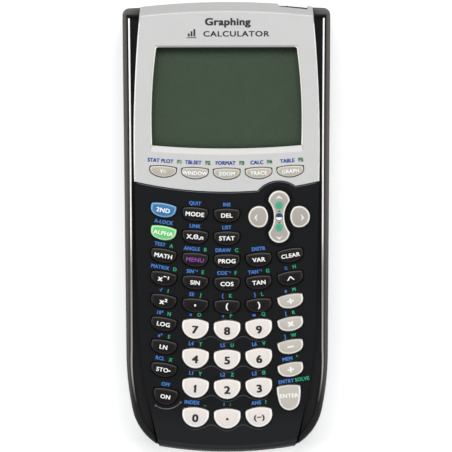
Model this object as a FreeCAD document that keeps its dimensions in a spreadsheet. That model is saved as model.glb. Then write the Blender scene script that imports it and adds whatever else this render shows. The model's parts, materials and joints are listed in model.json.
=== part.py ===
"""Graphing calculator: two front shells, a rear case, a keypad of 49 moving keys and what sits inside.

Frame: +X to the right, +Y up the face towards the display, +Z out of the face. The case lies on its
back, with the back at Z = 0 and the origin under its middle. Millimetres throughout.
"""
import FreeCAD, Part
import math
import os
from types import SimpleNamespace

import Sketcher

Vector = FreeCAD.Vector
UP = Vector(0, 0, 1)

# Every driving dimension. Half widths are measured from the middle line of the case.
DIMENSIONS = {
    # heights above the table
    "floor_top": 2.0, "ledge": 13.0, "rail_top": 18.6, "shoulder": 17.5,
    "board_bottom": 14.0, "board_thick": 1.2, "membrane_thick": 1.0, "dome_gap": 0.1,
    "plate_bottom": 18.5, "deck_top": 20.6, "bezel_top": 21.0,
    "key_bottom": 17.6, "flange_thick": 0.7, "key_top": 22.4, "soft_key_top": 22.0,
    # outline of the rear case
    "case_end": 95.7, "arch_y": 93.7, "arch_half": 36.6, "arch_drop": 0.3,
    "cap_half": 44.3, "cap_y": 93.1, "cap_bottom": 89.4, "cap_radius": 3.0,
    "side_half": 42.9, "side_y": -52.0, "bend_half": 42.1, "bend_y": -66.5,
    "knee_half": 40.4, "knee_y": -77.0, "heel_half": 36.4, "heel_y": -86.3,
    "toe_half": 27.6, "toe_y": -93.6,
    "bead_inset": 2.5, "rail_radius": 1.5, "back_radius": 3.0,
    # front opening, shared by the two front shells
    "bezel_mid_half": 39.1, "bezel_mid_y": 58.0, "corner_half": 39.3, "corner_y": 19.4, "joint_y": 14.9,
    "deck_low_half": 37.7, "deck_low_y": -44.0, "deck_bend_half": 36.2, "deck_bend_y": -58.5,
    "deck_knee_half": 33.7, "deck_knee_y": -73.4, "deck_toe_half": 28.9,
    "deck_toe_y": -93.2, "joint_gap": 0.1,
    "wall": 1.8, "seam_gap": 0.15,
    "pad_x": 22.2, "hump_y": 7.85, "hump_radius": 11.8, "pad_y": 4.3,
    "arch_slope_run": 4.4, "arch_slope_fall": 3.0, "edge_round": 0.6, "deck_end_radius": 4.0,
    # display window
    "window_top": 76.4, "window_top_half": 30.0, "window_bottom_half": 31.7, "window_bulge_y": 60.0,
    "window_bulge_half": 31.5, "window_bottom": 34.7, "window_sag": 33.3, "window_corner": 0.9,
    "scoop_rim": 0.7, "scoop_foot": 2.6, "scoop_depth": 0.9,
    "lens_margin": 1.6, "lens_thick": 1.2, "lcd_half_width": 33.0, "lcd_bottom": 30.5, "lcd_length": 49.0,
    # keypad
    "column_angle": 4.975, "row_radius": 156.2, "soft_angle": 2.155, "soft_radius": 360.0,
    "first_row": 4.85, "row_pitch": 9.68, "soft_row": 22.6, "number_row": -43.8, "number_pitch": 12.5,
    "foot_row": -74.3, "foot_shift": 0.7, "enter_drop": 0.5, "enter_lean": 6.5,
    "travel": 1.0, "key_gap": 0.35, "flange_rim": 0.45, "rim_round": 0.45, "corner_round": 0.75,
    "small_half": 5.4, "small_height": 5.9, "small_sag": 0.65, "small_shoulder": 1.6, "small_side": 3.2,
    "small_corner": 0.6,
    "number_half": 5.6, "number_height": 8.3, "number_sag": 1.1, "number_shoulder": 2.1, "number_side": 3.6,
    "number_corner": 1.15,
    "soft_half": 5.55, "soft_height": 4.6, "soft_sag": 0.5, "soft_shoulder": 1.1, "soft_side": 2.0,
    "soft_corner": 0.9,
    "enter_half": 5.0, "enter_height": 10.7, "enter_sag": 0.5, "enter_shoulder": 1.5, "enter_side": 20.0,
    "enter_corner": 0.75,
    "power_half": 5.2, "power_height": 6.9, "power_sag": 0.6, "power_shoulder": 1.4, "power_side": 3.6,
    "power_corner": 0.9,
    # direction keys
    "rocker_half_length": 11.1, "lobe_radius": 4.5, "waist_half": 2.15, "pivot_half": 3.4, "pivot_reach": 1.6,
    "side_key_tip": 6.3, "side_key_half": 3.95, "side_key_reach": 6.75, "side_key_belly": 1.6,
    "moat_width": 1.3, "moat_depth": 0.7,
    # battery compartment and its door
    "bay_half": 22.2, "bay_bottom": 23.4, "bay_length": 48.6, "bay_ceiling": 12.6, "tray_wall": 1.4,
    "door_half": 24.4, "door_bottom": 21.0, "door_length": 53.0, "door_thick": 1.8, "door_gap": 0.25,
    "slot_room": 0.3, "swing_room": 1.0, "boss_root": 0.5,
    "tongue_x": 14.0, "tongue_width": 6.0, "tongue_reach": 1.3, "tongue_thick": 0.8,
    "latch_half": 5.0, "latch_thick": 1.2, "latch_height": 5.0, "latch_room": 4.4, "tray_roof": 1.0,
    "grip_ribs": 4, "grip_pitch": 1.6, "grip_depth": 0.4,
    "cell_radius": 5.25, "cell_length": 43.7, "cell_nub_radius": 1.9, "cell_nub": 0.8, "cell_pitch": 11.0,
    "cell_bottom": 25.5, "cell_axis": 7.2, "contact_thick": 0.4, "contact_width": 8.0, "contact_slack": 0.05,
    "spring_tip": 1.4,
    "coin_radius": 5.8, "coin_height": 5.4, "coin_y": -20.0,
    # board, sockets and screws
    "board_half": 34.4, "dome_radius": 2.2, "chip_height": 1.4, "lcd_frame": 1.2, "lcd_lip": 0.3,
    "board_end": 91.0, "board_low_half": 27.5, "board_low_y": -88.0, "board_bend_y": -45.0,
    "membrane_top_y": 27.0, "socket_y": 84.0, "jack_x": 23.6, "jack_width": 5.6, "socket_length": 9.0,
    "jack_side": 4.6, "jack_bore": 1.3, "jack_mouth": 2.6, "usb_x": 30.4, "usb_width": 7.6,
    "usb_height": 3.8, "socket_gap": 0.3,
    "notch_left": 21.0, "notch_slope": 1.8, "notch_left_y": 93.7, "notch_right": 34.5, "notch_right_y": 92.5,
    "boss_radius": 2.4, "board_hole": 2.8, "screw_radius": 1.0, "pilot_radius": 1.05, "head_radius": 1.9,
    "head_height": 1.5, "head_recess": 2.2, "head_seat": 7.0, "screw_end": 17.4,
    "top_screw_x": 13.0, "top_screw_y": 87.0, "mid_screw_x": 33.6, "mid_screw_y": 13.4,
    "low_screw_x": 25.0, "low_screw_y": -83.6,
}


class Size:
    """A length with its value and the spreadsheet expression behind it."""

    def __init__(self, value, text):
        self.value = value
        self.text = text

    def __add__(self, other):
        other = as_size(other)
        return Size(self.value + other.value, f"({self.text} + {other.text})")

    def __sub__(self, other):
        other = as_size(other)
        return Size(self.value - other.value, f"({self.text} - {other.text})")

    def __mul__(self, other):
        other = as_size(other)
        return Size(self.value * other.value, f"({self.text} * {other.text})")

    def __truediv__(self, other):
        other = as_size(other)
        return Size(self.value / other.value, f"({self.text} / {other.text})")

    def __neg__(self):
        return Size(-self.value, f"(-1 * {self.text})")


def as_size(number):
    """A plain number becomes a Size; a Size stays itself."""
    return number if isinstance(number, Size) else Size(number, f"({number})")


def sine(angle):
    return Size(math.sin(math.radians(angle.value)), f"sin({angle.text})")


def cosine(angle):
    return Size(math.cos(math.radians(angle.value)), f"cos({angle.text})")


ZERO = Size(0.0, "0")

doc = FreeCAD.newDocument("graphing_calculator")
sheet = doc.addObject("Spreadsheet::Sheet", "dims")
for row, (alias, value) in enumerate(DIMENSIONS.items(), 1):
    sheet.set(f"B{row}", str(value))
    sheet.setAlias(f"B{row}", alias)
doc.recompute()
dim = SimpleNamespace(**{alias: Size(value, f"dims.{alias}") for alias, value in DIMENSIONS.items()})

pieces = []


def bind(obj, **sizes):
    """Bind properties of an object to sizes; double underscores stand for dots."""
    for name, size in sizes.items():
        path = name.replace("__", ".")
        obj.setExpression(path, as_size(size).text)


def named(obj, label):
    """Give a finished sub-part its label and list it for export."""
    obj.Label = label
    pieces.append(obj)
    return obj


def refresh(body, feature):
    """Work out one feature and the body that ends in it."""
    feature.recompute(True)
    body.recompute()


def new_body(name):
    return doc.addObject("PartDesign::Body", name)


def new_sketch(body, name, height=None):
    """A sketch on the body's own XY plane, lifted to a height."""
    sketch = body.newObject("Sketcher::SketchObject", name)
    plane = next(item for item in body.Origin.OriginFeatures if item.Role == "XY_Plane")
    sketch.AttachmentSupport = [(plane, "")]
    sketch.MapMode = "FlatFace"
    if height is not None:
        bind(sketch, AttachmentOffset__Base__z=height)
    return sketch


def fix_point(sketch, geometry, end, x, y):
    """Hold one point of a sketch at x, y."""
    for kind, size, axis in (("DistanceX", x, -2), ("DistanceY", y, -1)):
        if size.value == 0:
            sketch.addConstraint(Sketcher.Constraint("PointOnObject", geometry, end, axis))
            continue
        index = sketch.addConstraint(Sketcher.Constraint(kind, -1, 1, geometry, end, size.value))
        sketch.setExpression(f"Constraints[{index}]", size.text)


def draw_path(sketch, corners):
    """Draw a closed outline.

    Each corner is (x, y) or (x, y, through_x, through_y). The last two make the stretch that
    arrives at the corner an arc through that point.
    """
    first = sketch.GeometryCount
    count = len(corners)
    for index, corner in enumerate(corners):
        before = corners[index - 1]
        start = Vector(before[0].value, before[1].value, 0)
        finish = Vector(corner[0].value, corner[1].value, 0)
        if len(corner) == 2:
            sketch.addGeometry(Part.LineSegment(start, finish))
            continue
        middle = Vector(corner[2].value, corner[3].value, 0)
        if (middle - start).cross(finish - middle).z < 0:
            start, finish = finish, start
        sketch.addGeometry(Part.Arc(start, middle, finish))
    ends = []
    for index, corner in enumerate(corners):
        geometry = sketch.Geometry[first + index]
        finish = Vector(corner[0].value, corner[1].value, 0)
        at_start = hasattr(geometry, "StartPoint") and (geometry.StartPoint - finish).Length < 1e-6
        ends.append((2, 1) if at_start else (1, 2))
    for index, corner in enumerate(corners):
        following = (index + 1) % count
        sketch.addConstraint(Sketcher.Constraint("Coincident", first + index, ends[index][1],
                                                 first + following, ends[following][0]))
        fix_point(sketch, first + index, ends[index][1], corner[0], corner[1])
        if len(corner) == 4:
            point = sketch.addGeometry(Part.Point(Vector(corner[2].value, corner[3].value, 0)), True)
            fix_point(sketch, point, 1, corner[2], corner[3])
            sketch.addConstraint(Sketcher.Constraint("PointOnObject", point, 1, first + index))


def draw_circle(sketch, x, y, radius):
    geometry = sketch.addGeometry(Part.Circle(Vector(x.value, y.value, 0), UP, radius.value))
    fix_point(sketch, geometry, 3, x, y)
    index = sketch.addConstraint(Sketcher.Constraint("Radius", geometry, radius.value))
    sketch.setExpression(f"Constraints[{index}]", radius.text)


def pad(body, sketch, length):
    """Add material upwards from a sketch."""
    feature = body.newObject("PartDesign::Pad", sketch.Name + "_pad")
    feature.Profile = sketch
    bind(feature, Length=length)
    refresh(body, feature)
    return feature


def pocket(body, sketch, depth, upwards=False):
    """Remove material below a sketch, or above it, and make sure that something went."""
    volume = body.Shape.Volume
    feature = body.newObject("PartDesign::Pocket", sketch.Name + "_cut")
    feature.Profile = sketch
    feature.Reversed = upwards
    bind(feature, Length=depth)
    refresh(body, feature)
    if body.Shape.Volume > volume - 1e-3:
        raise RuntimeError(f"{feature.Name} cuts nothing")
    return feature


def block(body, kind, name, corner, sides):
    """An Additive or Subtractive box feature, from its low corner and its three sides."""
    feature = body.newObject(f"PartDesign::{kind}Box", name)
    bind(feature, Length=sides[0], Width=sides[1], Height=sides[2],
         Placement__Base__x=corner[0], Placement__Base__y=corner[1], Placement__Base__z=corner[2])
    refresh(body, feature)
    return feature


def rod(body, kind, name, base, radius, height):
    """An Additive or Subtractive cylinder feature standing on its base point."""
    feature = body.newObject(f"PartDesign::{kind}Cylinder", name)
    bind(feature, Radius=radius, Height=height,
         Placement__Base__x=base[0], Placement__Base__y=base[1], Placement__Base__z=base[2])
    refresh(body, feature)
    return feature


def rod_along_y(body, kind, name, base, radius, length):
    """A cylinder feature lying along +Y from its base point."""
    feature = body.newObject(f"PartDesign::{kind}Cylinder", name)
    feature.Placement = FreeCAD.Placement(Vector(), FreeCAD.Rotation(Vector(1, 0, 0), -90))
    bind(feature, Radius=radius, Height=length,
         Placement__Base__x=base[0], Placement__Base__y=base[1], Placement__Base__z=base[2])
    refresh(body, feature)
    return feature


def edges_where(shape, test):
    """Names of the edges whose every sample point passes a test."""
    names = []
    for index, edge in enumerate(shape.Edges, 1):
        points = edge.discretize(5)
        if all(test(point) for point in points):
            names.append(f"Edge{index}")
    return names


def upright_edges(shape, test):
    """Names of the vertical edges whose points pass a test."""
    names = []
    for index, edge in enumerate(shape.Edges, 1):
        points = edge.discretize(3)
        flat = math.hypot(points[0].x - points[-1].x, points[0].y - points[-1].y)
        if flat < 1e-4 and edge.Length > 1e-3 and test(points[0]):
            names.append(f"Edge{index}")
    return names


def fillet(body, name, edges, radius):
    base = body.Tip
    feature = body.newObject("PartDesign::Fillet", name)
    feature.Base = (base, edges)
    bind(feature, Radius=radius)
    refresh(body, feature)
    return feature


# ---------------------------------------------------------------- outlines shared by the shells

def left_half(right_half):
    """Mirror the corners of a right half, so that the outline can go on down the other side.

    The right half runs anticlockwise and ends at its last corner; the mirror image runs back from
    there, so each stretch's through point moves to the corner at its other end.
    """
    mirrored = []
    for index in range(len(right_half) - 1, -1, -1):
        corner = right_half[index]
        mirrored_corner = (-corner[0], corner[1])
        if index + 1 < len(right_half) and len(right_half[index + 1]) == 4:
            through = right_half[index + 1]
            mirrored_corner += (-through[2], through[3])
        mirrored.append(mirrored_corner)
    return mirrored


def case_outline():
    right = [
        (dim.toe_half, dim.toe_y, ZERO, -dim.case_end),
        (dim.knee_half, dim.knee_y, dim.heel_half, dim.heel_y),
        (dim.side_half, dim.side_y, dim.bend_half, dim.bend_y),
        (dim.cap_half, dim.cap_y),
        (dim.arch_half, dim.arch_y - dim.arch_drop),
    ]
    left = left_half(right)
    left[0] += (ZERO, dim.case_end - dim.arch_drop)
    return right + left


def side_points(inset):
    """Right edge of the front opening from the bottom of the deck to the end of the bezel."""
    return [
        (dim.deck_knee_half - inset, dim.deck_knee_y),
        (dim.deck_low_half - inset, dim.deck_low_y, dim.deck_bend_half - inset, dim.deck_bend_y),
        (dim.corner_half - inset, dim.corner_y),
        (dim.arch_half - inset, dim.arch_y, dim.bezel_mid_half - inset, dim.bezel_mid_y),
    ]


def deck_outline(inset, bottom_half, bottom_y, bottom_sag, joint):
    """The deck's plan: joint is the lift of its top edge, which is an arc."""
    right = [(bottom_half, bottom_y, ZERO, bottom_sag)] + side_points(inset)[:2]
    right.append((dim.corner_half - inset, dim.corner_y + joint))
    left = left_half(right)
    left[0] += (ZERO, dim.joint_y + joint)
    return right + left


def bezel_outline(inset, joint, end_inset):
    right = [(dim.corner_half - inset, dim.corner_y + joint, ZERO, dim.joint_y + joint)]
    right.append((dim.arch_half - inset, dim.arch_y - end_inset,
                  dim.bezel_mid_half - inset, dim.bezel_mid_y))
    left = left_half(right)
    left[0] += (ZERO, dim.case_end - end_inset)
    return right + left


def window_outline(side, foot):
    """The display window's plan, grown by side all round and by foot at its lower edge."""
    corner = dim.window_corner
    bulge = corner * (1 - math.sqrt(0.5))
    corner_x = dim.window_top_half + side
    corner_y = dim.window_top + side
    right = [
        (dim.window_bottom_half + side, dim.window_bottom - foot, ZERO, dim.window_sag - foot),
        (corner_x, corner_y - corner, dim.window_bulge_half + side, dim.window_bulge_y),
        (corner_x - corner, corner_y, corner_x - bulge, corner_y - bulge),
    ]
    return right + left_half(right)


SCREW_PLACES = [
    (-dim.top_screw_x, dim.top_screw_y), (dim.top_screw_x, dim.top_screw_y),
    (-dim.mid_screw_x, dim.mid_screw_y), (dim.mid_screw_x, dim.mid_screw_y),
    (-dim.low_screw_x, dim.low_screw_y), (dim.low_screw_x, dim.low_screw_y),
]
TOP_SCREWS = SCREW_PLACES[:2]
DECK_SCREWS = SCREW_PLACES[2:]


# ---------------------------------------------------------------- rear case

def make_rear_case():
    """Tub with side rails, battery bay, screw bosses and the openings for the sockets."""
    body = new_body("rear_case_body")
    outline = new_sketch(body, "case_plan")
    draw_path(outline, case_outline())
    pad(body, outline, dim.rail_top)
    corner = upright_edges(body.Shape, lambda p: abs(p.x) > dim.cap_half.value - 0.5 and p.y > 90)
    fillet(body, "cap_corners", corner, dim.cap_radius)
    rail = edges_where(body.Shape, lambda p: p.z > dim.rail_top.value - 0.01
                       and abs(p.x) > dim.toe_half.value - 0.1 and p.y < dim.cap_y.value - 1.0)
    fillet(body, "rail_round", rail, dim.rail_radius)
    fillet(body, "back_round", edges_where(body.Shape, lambda p: p.z < 0.01), dim.back_radius)

    opening = new_sketch(body, "front_opening", dim.rail_top)
    beyond = dim.case_end + 2
    right = [(dim.deck_toe_half + dim.seam_gap, -beyond)] + side_points(-dim.seam_gap)
    right.append((dim.arch_half + dim.seam_gap, beyond))
    draw_path(opening, right + left_half(right))
    pocket(body, opening, dim.rail_top - dim.ledge)

    shoulder = new_sketch(body, "shoulder_plan", dim.rail_top)
    inset = dim.bead_inset
    right = [
        (dim.toe_half, dim.toe_y + inset),
        (dim.knee_half - inset, dim.knee_y + 1, dim.heel_half - inset * 0.8, dim.heel_y + inset * 0.7),
        (dim.side_half - inset, dim.side_y, dim.bend_half - inset, dim.bend_y),
        (dim.cap_half - inset, dim.cap_bottom),
    ]
    draw_path(shoulder, right + left_half(right))
    pocket(body, shoulder, dim.rail_top - dim.shoulder)

    cavity = new_sketch(body, "cavity_plan", dim.ledge)
    wall = dim.wall
    right = [(dim.deck_toe_half - wall, dim.toe_y + wall + 2)] + side_points(wall)
    end_x, _, through_x, through_y = right.pop()
    right.append((end_x, dim.arch_y - wall, through_x, through_y))
    draw_path(cavity, right + left_half(right))
    pocket(body, cavity, dim.ledge - dim.floor_top)

    tray_half = dim.door_half + dim.door_gap + dim.tray_wall
    tray_bottom = dim.door_bottom - dim.door_gap - dim.tray_wall
    tray_length = dim.door_length + (dim.door_gap + dim.tray_wall) * 2
    block(body, "Additive", "tray", (-tray_half, tray_bottom, dim.floor_top / 2),
          (tray_half * 2, tray_length, dim.bay_ceiling + dim.tray_roof - dim.floor_top / 2))
    block(body, "Subtractive", "bay", (-dim.bay_half, dim.bay_bottom, -dim.floor_top),
          (dim.bay_half * 2, dim.bay_length, dim.bay_ceiling + dim.floor_top))
    recess_half = dim.door_half + dim.door_gap
    block(body, "Subtractive", "door_recess", (-recess_half, dim.door_bottom - dim.door_gap, -dim.floor_top),
          (recess_half * 2, dim.door_length + dim.door_gap * 2,
           dim.door_thick + dim.joint_gap + dim.floor_top))
    for side in (-1, 1):
        block(body, "Subtractive", "tongue_slot",
              (dim.tongue_x * side - dim.tongue_width / 2 - dim.slot_room,
               dim.door_bottom - dim.tongue_reach - dim.swing_room, dim.door_thick),
              (dim.tongue_width + dim.slot_room * 2, dim.tongue_reach + dim.swing_room * 4,
               dim.tongue_thick + dim.swing_room * 2))
    block(body, "Subtractive", "latch_slot",
          (-dim.latch_half - dim.slot_room, dim.door_bottom + dim.door_length - dim.swing_room * 2,
           -dim.floor_top),
          ((dim.latch_half + dim.slot_room) * 2, dim.latch_room,
           dim.floor_top + dim.latch_height + dim.slot_room * 2))

    for x, y in SCREW_PLACES:
        rod(body, "Additive", "boss", (x, y, dim.floor_top / 2), dim.board_hole,
            dim.board_bottom - dim.floor_top / 2)
        rod(body, "Subtractive", "screw_way", (x, y, -dim.floor_top), dim.pilot_radius + dim.seam_gap,
            dim.board_bottom + dim.floor_top * 2)
        rod(body, "Subtractive", "head_way", (x, y, -dim.floor_top), dim.head_recess,
            dim.head_seat + dim.floor_top)

    socket_end = dim.socket_y + dim.socket_length
    rod_along_y(body, "Subtractive", "jack_way", (dim.jack_x, socket_end - 1, jack_height()),
                dim.jack_mouth, dim.socket_length)
    block(body, "Subtractive", "usb_way",
          (dim.usb_x - dim.usb_width / 2 - dim.socket_gap, socket_end - dim.swing_room,
           dim.board_bottom - dim.usb_height - dim.socket_gap),
          (dim.usb_width + dim.socket_gap * 2, dim.socket_length, dim.usb_height + dim.socket_gap))
    block(body, "Subtractive", "socket_bay",
          (dim.notch_left - 0.8, dim.socket_y, dim.board_bottom - dim.jack_side - 1.0),
          (dim.notch_right - dim.notch_left + 0.8, dim.socket_length + 0.1, dim.jack_side + 1.0))
    return named(body, "rear_case")


def jack_height():
    """Height of the middle of the link jack, which hangs under the board."""
    return dim.board_bottom - dim.jack_side / 2


def make_battery_door():
    """Door with two tongues at its hinge edge and a latch tab at the other."""
    body = new_body("battery_door_body")
    block(body, "Additive", "door_plate", (-dim.door_half, dim.door_bottom, ZERO),
          (dim.door_half * 2, dim.door_length, dim.door_thick))
    for side in (-1, 1):
        left = dim.tongue_x * side - dim.tongue_width / 2
        block(body, "Additive", "tongue_root", (left, dim.door_bottom, dim.door_thick - 0.2),
              (dim.tongue_width, dim.tongue_reach, dim.tongue_thick + 0.6))
        block(body, "Additive", "tongue", (left, dim.door_bottom - dim.tongue_reach, dim.door_thick + 0.4),
              (dim.tongue_width, dim.tongue_reach * 2, dim.tongue_thick))
    block(body, "Additive", "latch",
          (-dim.latch_half, dim.door_bottom + dim.door_length - dim.latch_thick, ZERO),
          (dim.latch_half * 2, dim.latch_thick, dim.latch_height))
    for index in range(int(dim.grip_ribs.value)):
        block(body, "Subtractive", "grip_groove",
              (-dim.latch_half, dim.door_bottom + dim.door_length - dim.grip_pitch * (index + 2), -dim.wall),
              (dim.latch_half * 2, dim.grip_pitch / 2, dim.wall + dim.grip_depth))
    return named(body, "battery_door")


# ---------------------------------------------------------------- front shells

def hang_bosses(body, places):
    """Bosses under a front plate, with a pilot hole for each screw."""
    for x, y in places:
        rod(body, "Additive", "front_boss", (x, y, dim.board_bottom), dim.boss_radius,
            dim.plate_bottom + dim.boss_root - dim.board_bottom)
        rod(body, "Subtractive", "pilot", (x, y, dim.ledge), dim.pilot_radius,
            dim.screw_end + dim.slot_room - dim.ledge)


def make_bezel_shell():
    """Silver shell round the display, before the soft keys' openings are cut."""
    body = new_body("bezel_shell")
    outline = new_sketch(body, "bezel_plan", dim.ledge)
    draw_path(outline, bezel_outline(ZERO, dim.joint_gap, ZERO))
    pad(body, outline, dim.bezel_top - dim.ledge)

    hollow = new_sketch(body, "bezel_hollow", dim.ledge)
    draw_path(hollow, bezel_outline(dim.wall, dim.wall * -5, dim.wall))
    pocket(body, hollow, dim.plate_bottom - dim.ledge, upwards=True)
    rod(body, "Subtractive", "hump_way", (dim.pad_x, dim.hump_y, dim.floor_top),
        dim.hump_radius + dim.joint_gap, dim.bezel_top)

    slope_base = body.Tip
    arch = edges_where(body.Shape, lambda p: p.z > dim.bezel_top.value - 0.01
                       and p.y > dim.arch_y.value - 0.01)
    slope = body.newObject("PartDesign::Chamfer", "arch_slope")
    slope.Base = (slope_base, arch)
    slope.ChamferType = "Two distances"
    bind(slope, Size=dim.arch_slope_run, Size2=dim.arch_slope_fall)
    doc.recompute()
    sides = edges_where(body.Shape, lambda p: p.z > dim.bezel_top.value - 0.01
                        and abs(p.x) > dim.arch_half.value - 0.5)
    fillet(body, "side_round", sides, dim.edge_round)

    rim = new_sketch(body, "scoop_rim", dim.bezel_top)
    draw_path(rim, window_outline(dim.scoop_rim, dim.scoop_foot))
    base = new_sketch(body, "scoop_base", dim.bezel_top - dim.scoop_depth)
    draw_path(base, window_outline(ZERO, ZERO))
    doc.recompute()
    scoop = body.newObject("PartDesign::SubtractiveLoft", "scoop")
    scoop.Profile = rim
    scoop.Sections = [base]
    doc.recompute()
    window = new_sketch(body, "window_plan", dim.bezel_top)
    draw_path(window, window_outline(ZERO, ZERO))
    pocket(body, window, dim.bezel_top - dim.ledge)

    notch = new_sketch(body, "port_notch", dim.bezel_top)
    draw_path(notch, [(dim.notch_left + dim.notch_slope, dim.notch_left_y),
                      (dim.notch_right, dim.notch_right_y), (dim.notch_right, dim.case_end),
                      (dim.notch_left, dim.case_end)])
    pocket(body, notch, dim.bezel_top - dim.ledge)
    socket_width = dim.usb_x - dim.jack_x + (dim.usb_width + dim.jack_width) / 2
    block(body, "Subtractive", "socket_way",
          (dim.jack_x - dim.jack_width / 2 - dim.socket_gap, dim.socket_y, dim.floor_top),
          (socket_width + dim.socket_gap * 2, dim.socket_length + dim.wall,
           dim.board_bottom + dim.socket_gap - dim.floor_top))
    hang_bosses(body, TOP_SCREWS)
    return body


def make_deck_shell():
    """Black shell round the keypad, before the keys' openings are cut."""
    body = new_body("deck_shell")
    outline = new_sketch(body, "deck_plan", dim.ledge)
    draw_path(outline, deck_outline(ZERO, dim.deck_toe_half, dim.deck_toe_y, -dim.case_end, ZERO))
    pad(body, outline, dim.deck_top - dim.ledge)
    rod(body, "Additive", "hump", (dim.pad_x, dim.hump_y, dim.ledge), dim.hump_radius,
        dim.deck_top - dim.ledge)
    end_edge = edges_where(body.Shape, lambda p: p.z > dim.deck_top.value - 0.01
                           and p.y < dim.deck_toe_y.value + 0.01)
    fillet(body, "end_round", end_edge, dim.deck_end_radius)

    wall = dim.wall
    hollow = new_sketch(body, "deck_hollow", dim.ledge)
    draw_path(hollow, deck_outline(wall, dim.deck_toe_half - wall, dim.deck_toe_y + wall,
                                   wall - dim.case_end, dim.wall * 5))
    pocket(body, hollow, dim.plate_bottom - dim.ledge, upwards=True)
    hang_bosses(body, DECK_SCREWS)
    return body


def grown_plan(key, growth, height):
    """Plan of a key where it stands, grown all round and laid at a height."""
    plan = key.Group[0].Shape.transformed(key.Placement.Matrix)
    face = Part.Face(Part.Wire(Part.__sortEdges__(plan.Edges)))
    grown = face.makeOffset2D(growth.value)
    grown.translate(Vector(0, 0, (height - dim.key_bottom).value))
    return grown


def make_openings(name, keys, extra=()):
    """Clearance holes round a set of keys, as one cutting tool."""
    start = dim.key_bottom + dim.flange_thick
    reach = (dim.bezel_top - dim.key_bottom).value
    tools = [grown_plan(key, dim.key_gap, start).extrude(UP * reach) for key in keys]
    tools.extend(extra)
    tool = doc.addObject("Part::Feature", name)
    tool.Shape = tools[0].multiFuse(tools[1:])
    return tool


def make_moat(rocker):
    """Shallow well in the deck round the up and down rocker."""
    ring = grown_plan(rocker, dim.key_gap + dim.moat_width, dim.deck_top - dim.moat_depth)
    return ring.extrude(UP * (dim.moat_depth.value + 1))


def cut_openings(shell, tool, label):
    cut = doc.addObject("Part::Cut", label + "_cut")
    cut.Base = shell
    cut.Tool = tool
    doc.recompute()
    return named(cut, label)


# ---------------------------------------------------------------- keys

def shape_size(shape, name):
    return getattr(dim, f"{shape}_{name}")


def draw_key_plan(sketch, shape, rim=ZERO):
    """Crowned top edge, short straight shoulders and a round foot of three tangent arcs.

    The rim grows the plan all round.
    """
    half = shape_size(shape, "half") + rim
    top = shape_size(shape, "height") / 2 + rim
    sag = shape_size(shape, "sag")
    side = shape_size(shape, "side") + rim
    crown = (half * half + sag * sag) / (sag * 2)
    corner = top - sag
    spring = corner - shape_size(shape, "shoulder") - rim
    depth = spring + top
    rise = ((half - side) * (half - side) - (depth - side) * (depth - side)) / ((depth - side) * 2)
    foot = depth + rise
    side_x = half - side
    foot_y = foot - top
    # The point where a side arc meets the foot arc lies on the line through both centres.
    reach_x = side_x.value
    reach_y = spring.value - foot_y.value
    outward = 1 if side.value < foot.value else -1
    span = math.hypot(reach_x, reach_y) * outward
    meet_x = foot.value * reach_x / span
    meet_y = foot_y.value + foot.value * reach_y / span
    top_arc = Part.Arc(Vector(half.value, corner.value, 0), Vector(0, top.value, 0),
                       Vector(-half.value, corner.value, 0))
    start = math.atan2(meet_y - spring.value, meet_x - side_x.value)
    right_arc = Part.ArcOfCircle(Part.Circle(Vector(side_x.value, spring.value, 0), UP, side.value),
                                 start, 0.0)
    left_arc = Part.ArcOfCircle(Part.Circle(Vector(-side_x.value, spring.value, 0), UP, side.value),
                                math.pi, math.pi - start)
    foot_start = math.atan2(meet_y - foot_y.value, -meet_x)
    foot_end = math.atan2(meet_y - foot_y.value, meet_x)
    foot_arc = Part.ArcOfCircle(Part.Circle(Vector(0, foot_y.value, 0), UP, foot.value), foot_start, foot_end)
    left_line = Part.LineSegment(Vector(-half.value, corner.value, 0), Vector(-half.value, spring.value, 0))
    right_line = Part.LineSegment(Vector(half.value, spring.value, 0), Vector(half.value, corner.value, 0))
    for geometry in (top_arc, left_line, left_arc, foot_arc, right_arc, right_line):
        sketch.addGeometry(geometry)
    constraint = Sketcher.Constraint
    sketch.addConstraint([
        constraint("Coincident", 0, 2, 1, 1), constraint("Tangent", 1, 2, 2, 1),
        constraint("Tangent", 2, 2, 3, 1), constraint("Tangent", 3, 2, 4, 1),
        constraint("Tangent", 4, 2, 5, 1), constraint("Coincident", 5, 2, 0, 1),
        constraint("Vertical", 1), constraint("Vertical", 5), constraint("PointOnObject", 0, 3, -2),
    ])
    for geometry, radius in ((0, crown), (2, side), (4, side), (3, foot)):
        index = sketch.addConstraint(constraint("Radius", geometry, radius.value))
        sketch.setExpression(f"Constraints[{index}]", radius.text)
    index = sketch.addConstraint(constraint("DistanceY", -1, 1, 0, 3, (top - crown).value))
    sketch.setExpression(f"Constraints[{index}]", (top - crown).text)
    fix_point(sketch, 2, 3, -side_x, spring)
    fix_point(sketch, 4, 3, side_x, spring)


def finish_key(body, label, top, place):
    """Round the cap of a key and put it in its place on the keypad."""
    rim = edges_where(body.Shape, lambda p: p.z > top.value - 0.01)
    fillet(body, "rim_round", rim, dim.rim_round)
    x, y, angle = place
    bind(body, Placement__Base__x=x, Placement__Base__y=y)
    if angle.value != 0:
        bind(body, Placement__Rotation__Angle=angle)
    body.recompute()
    return named(body, label)


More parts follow.
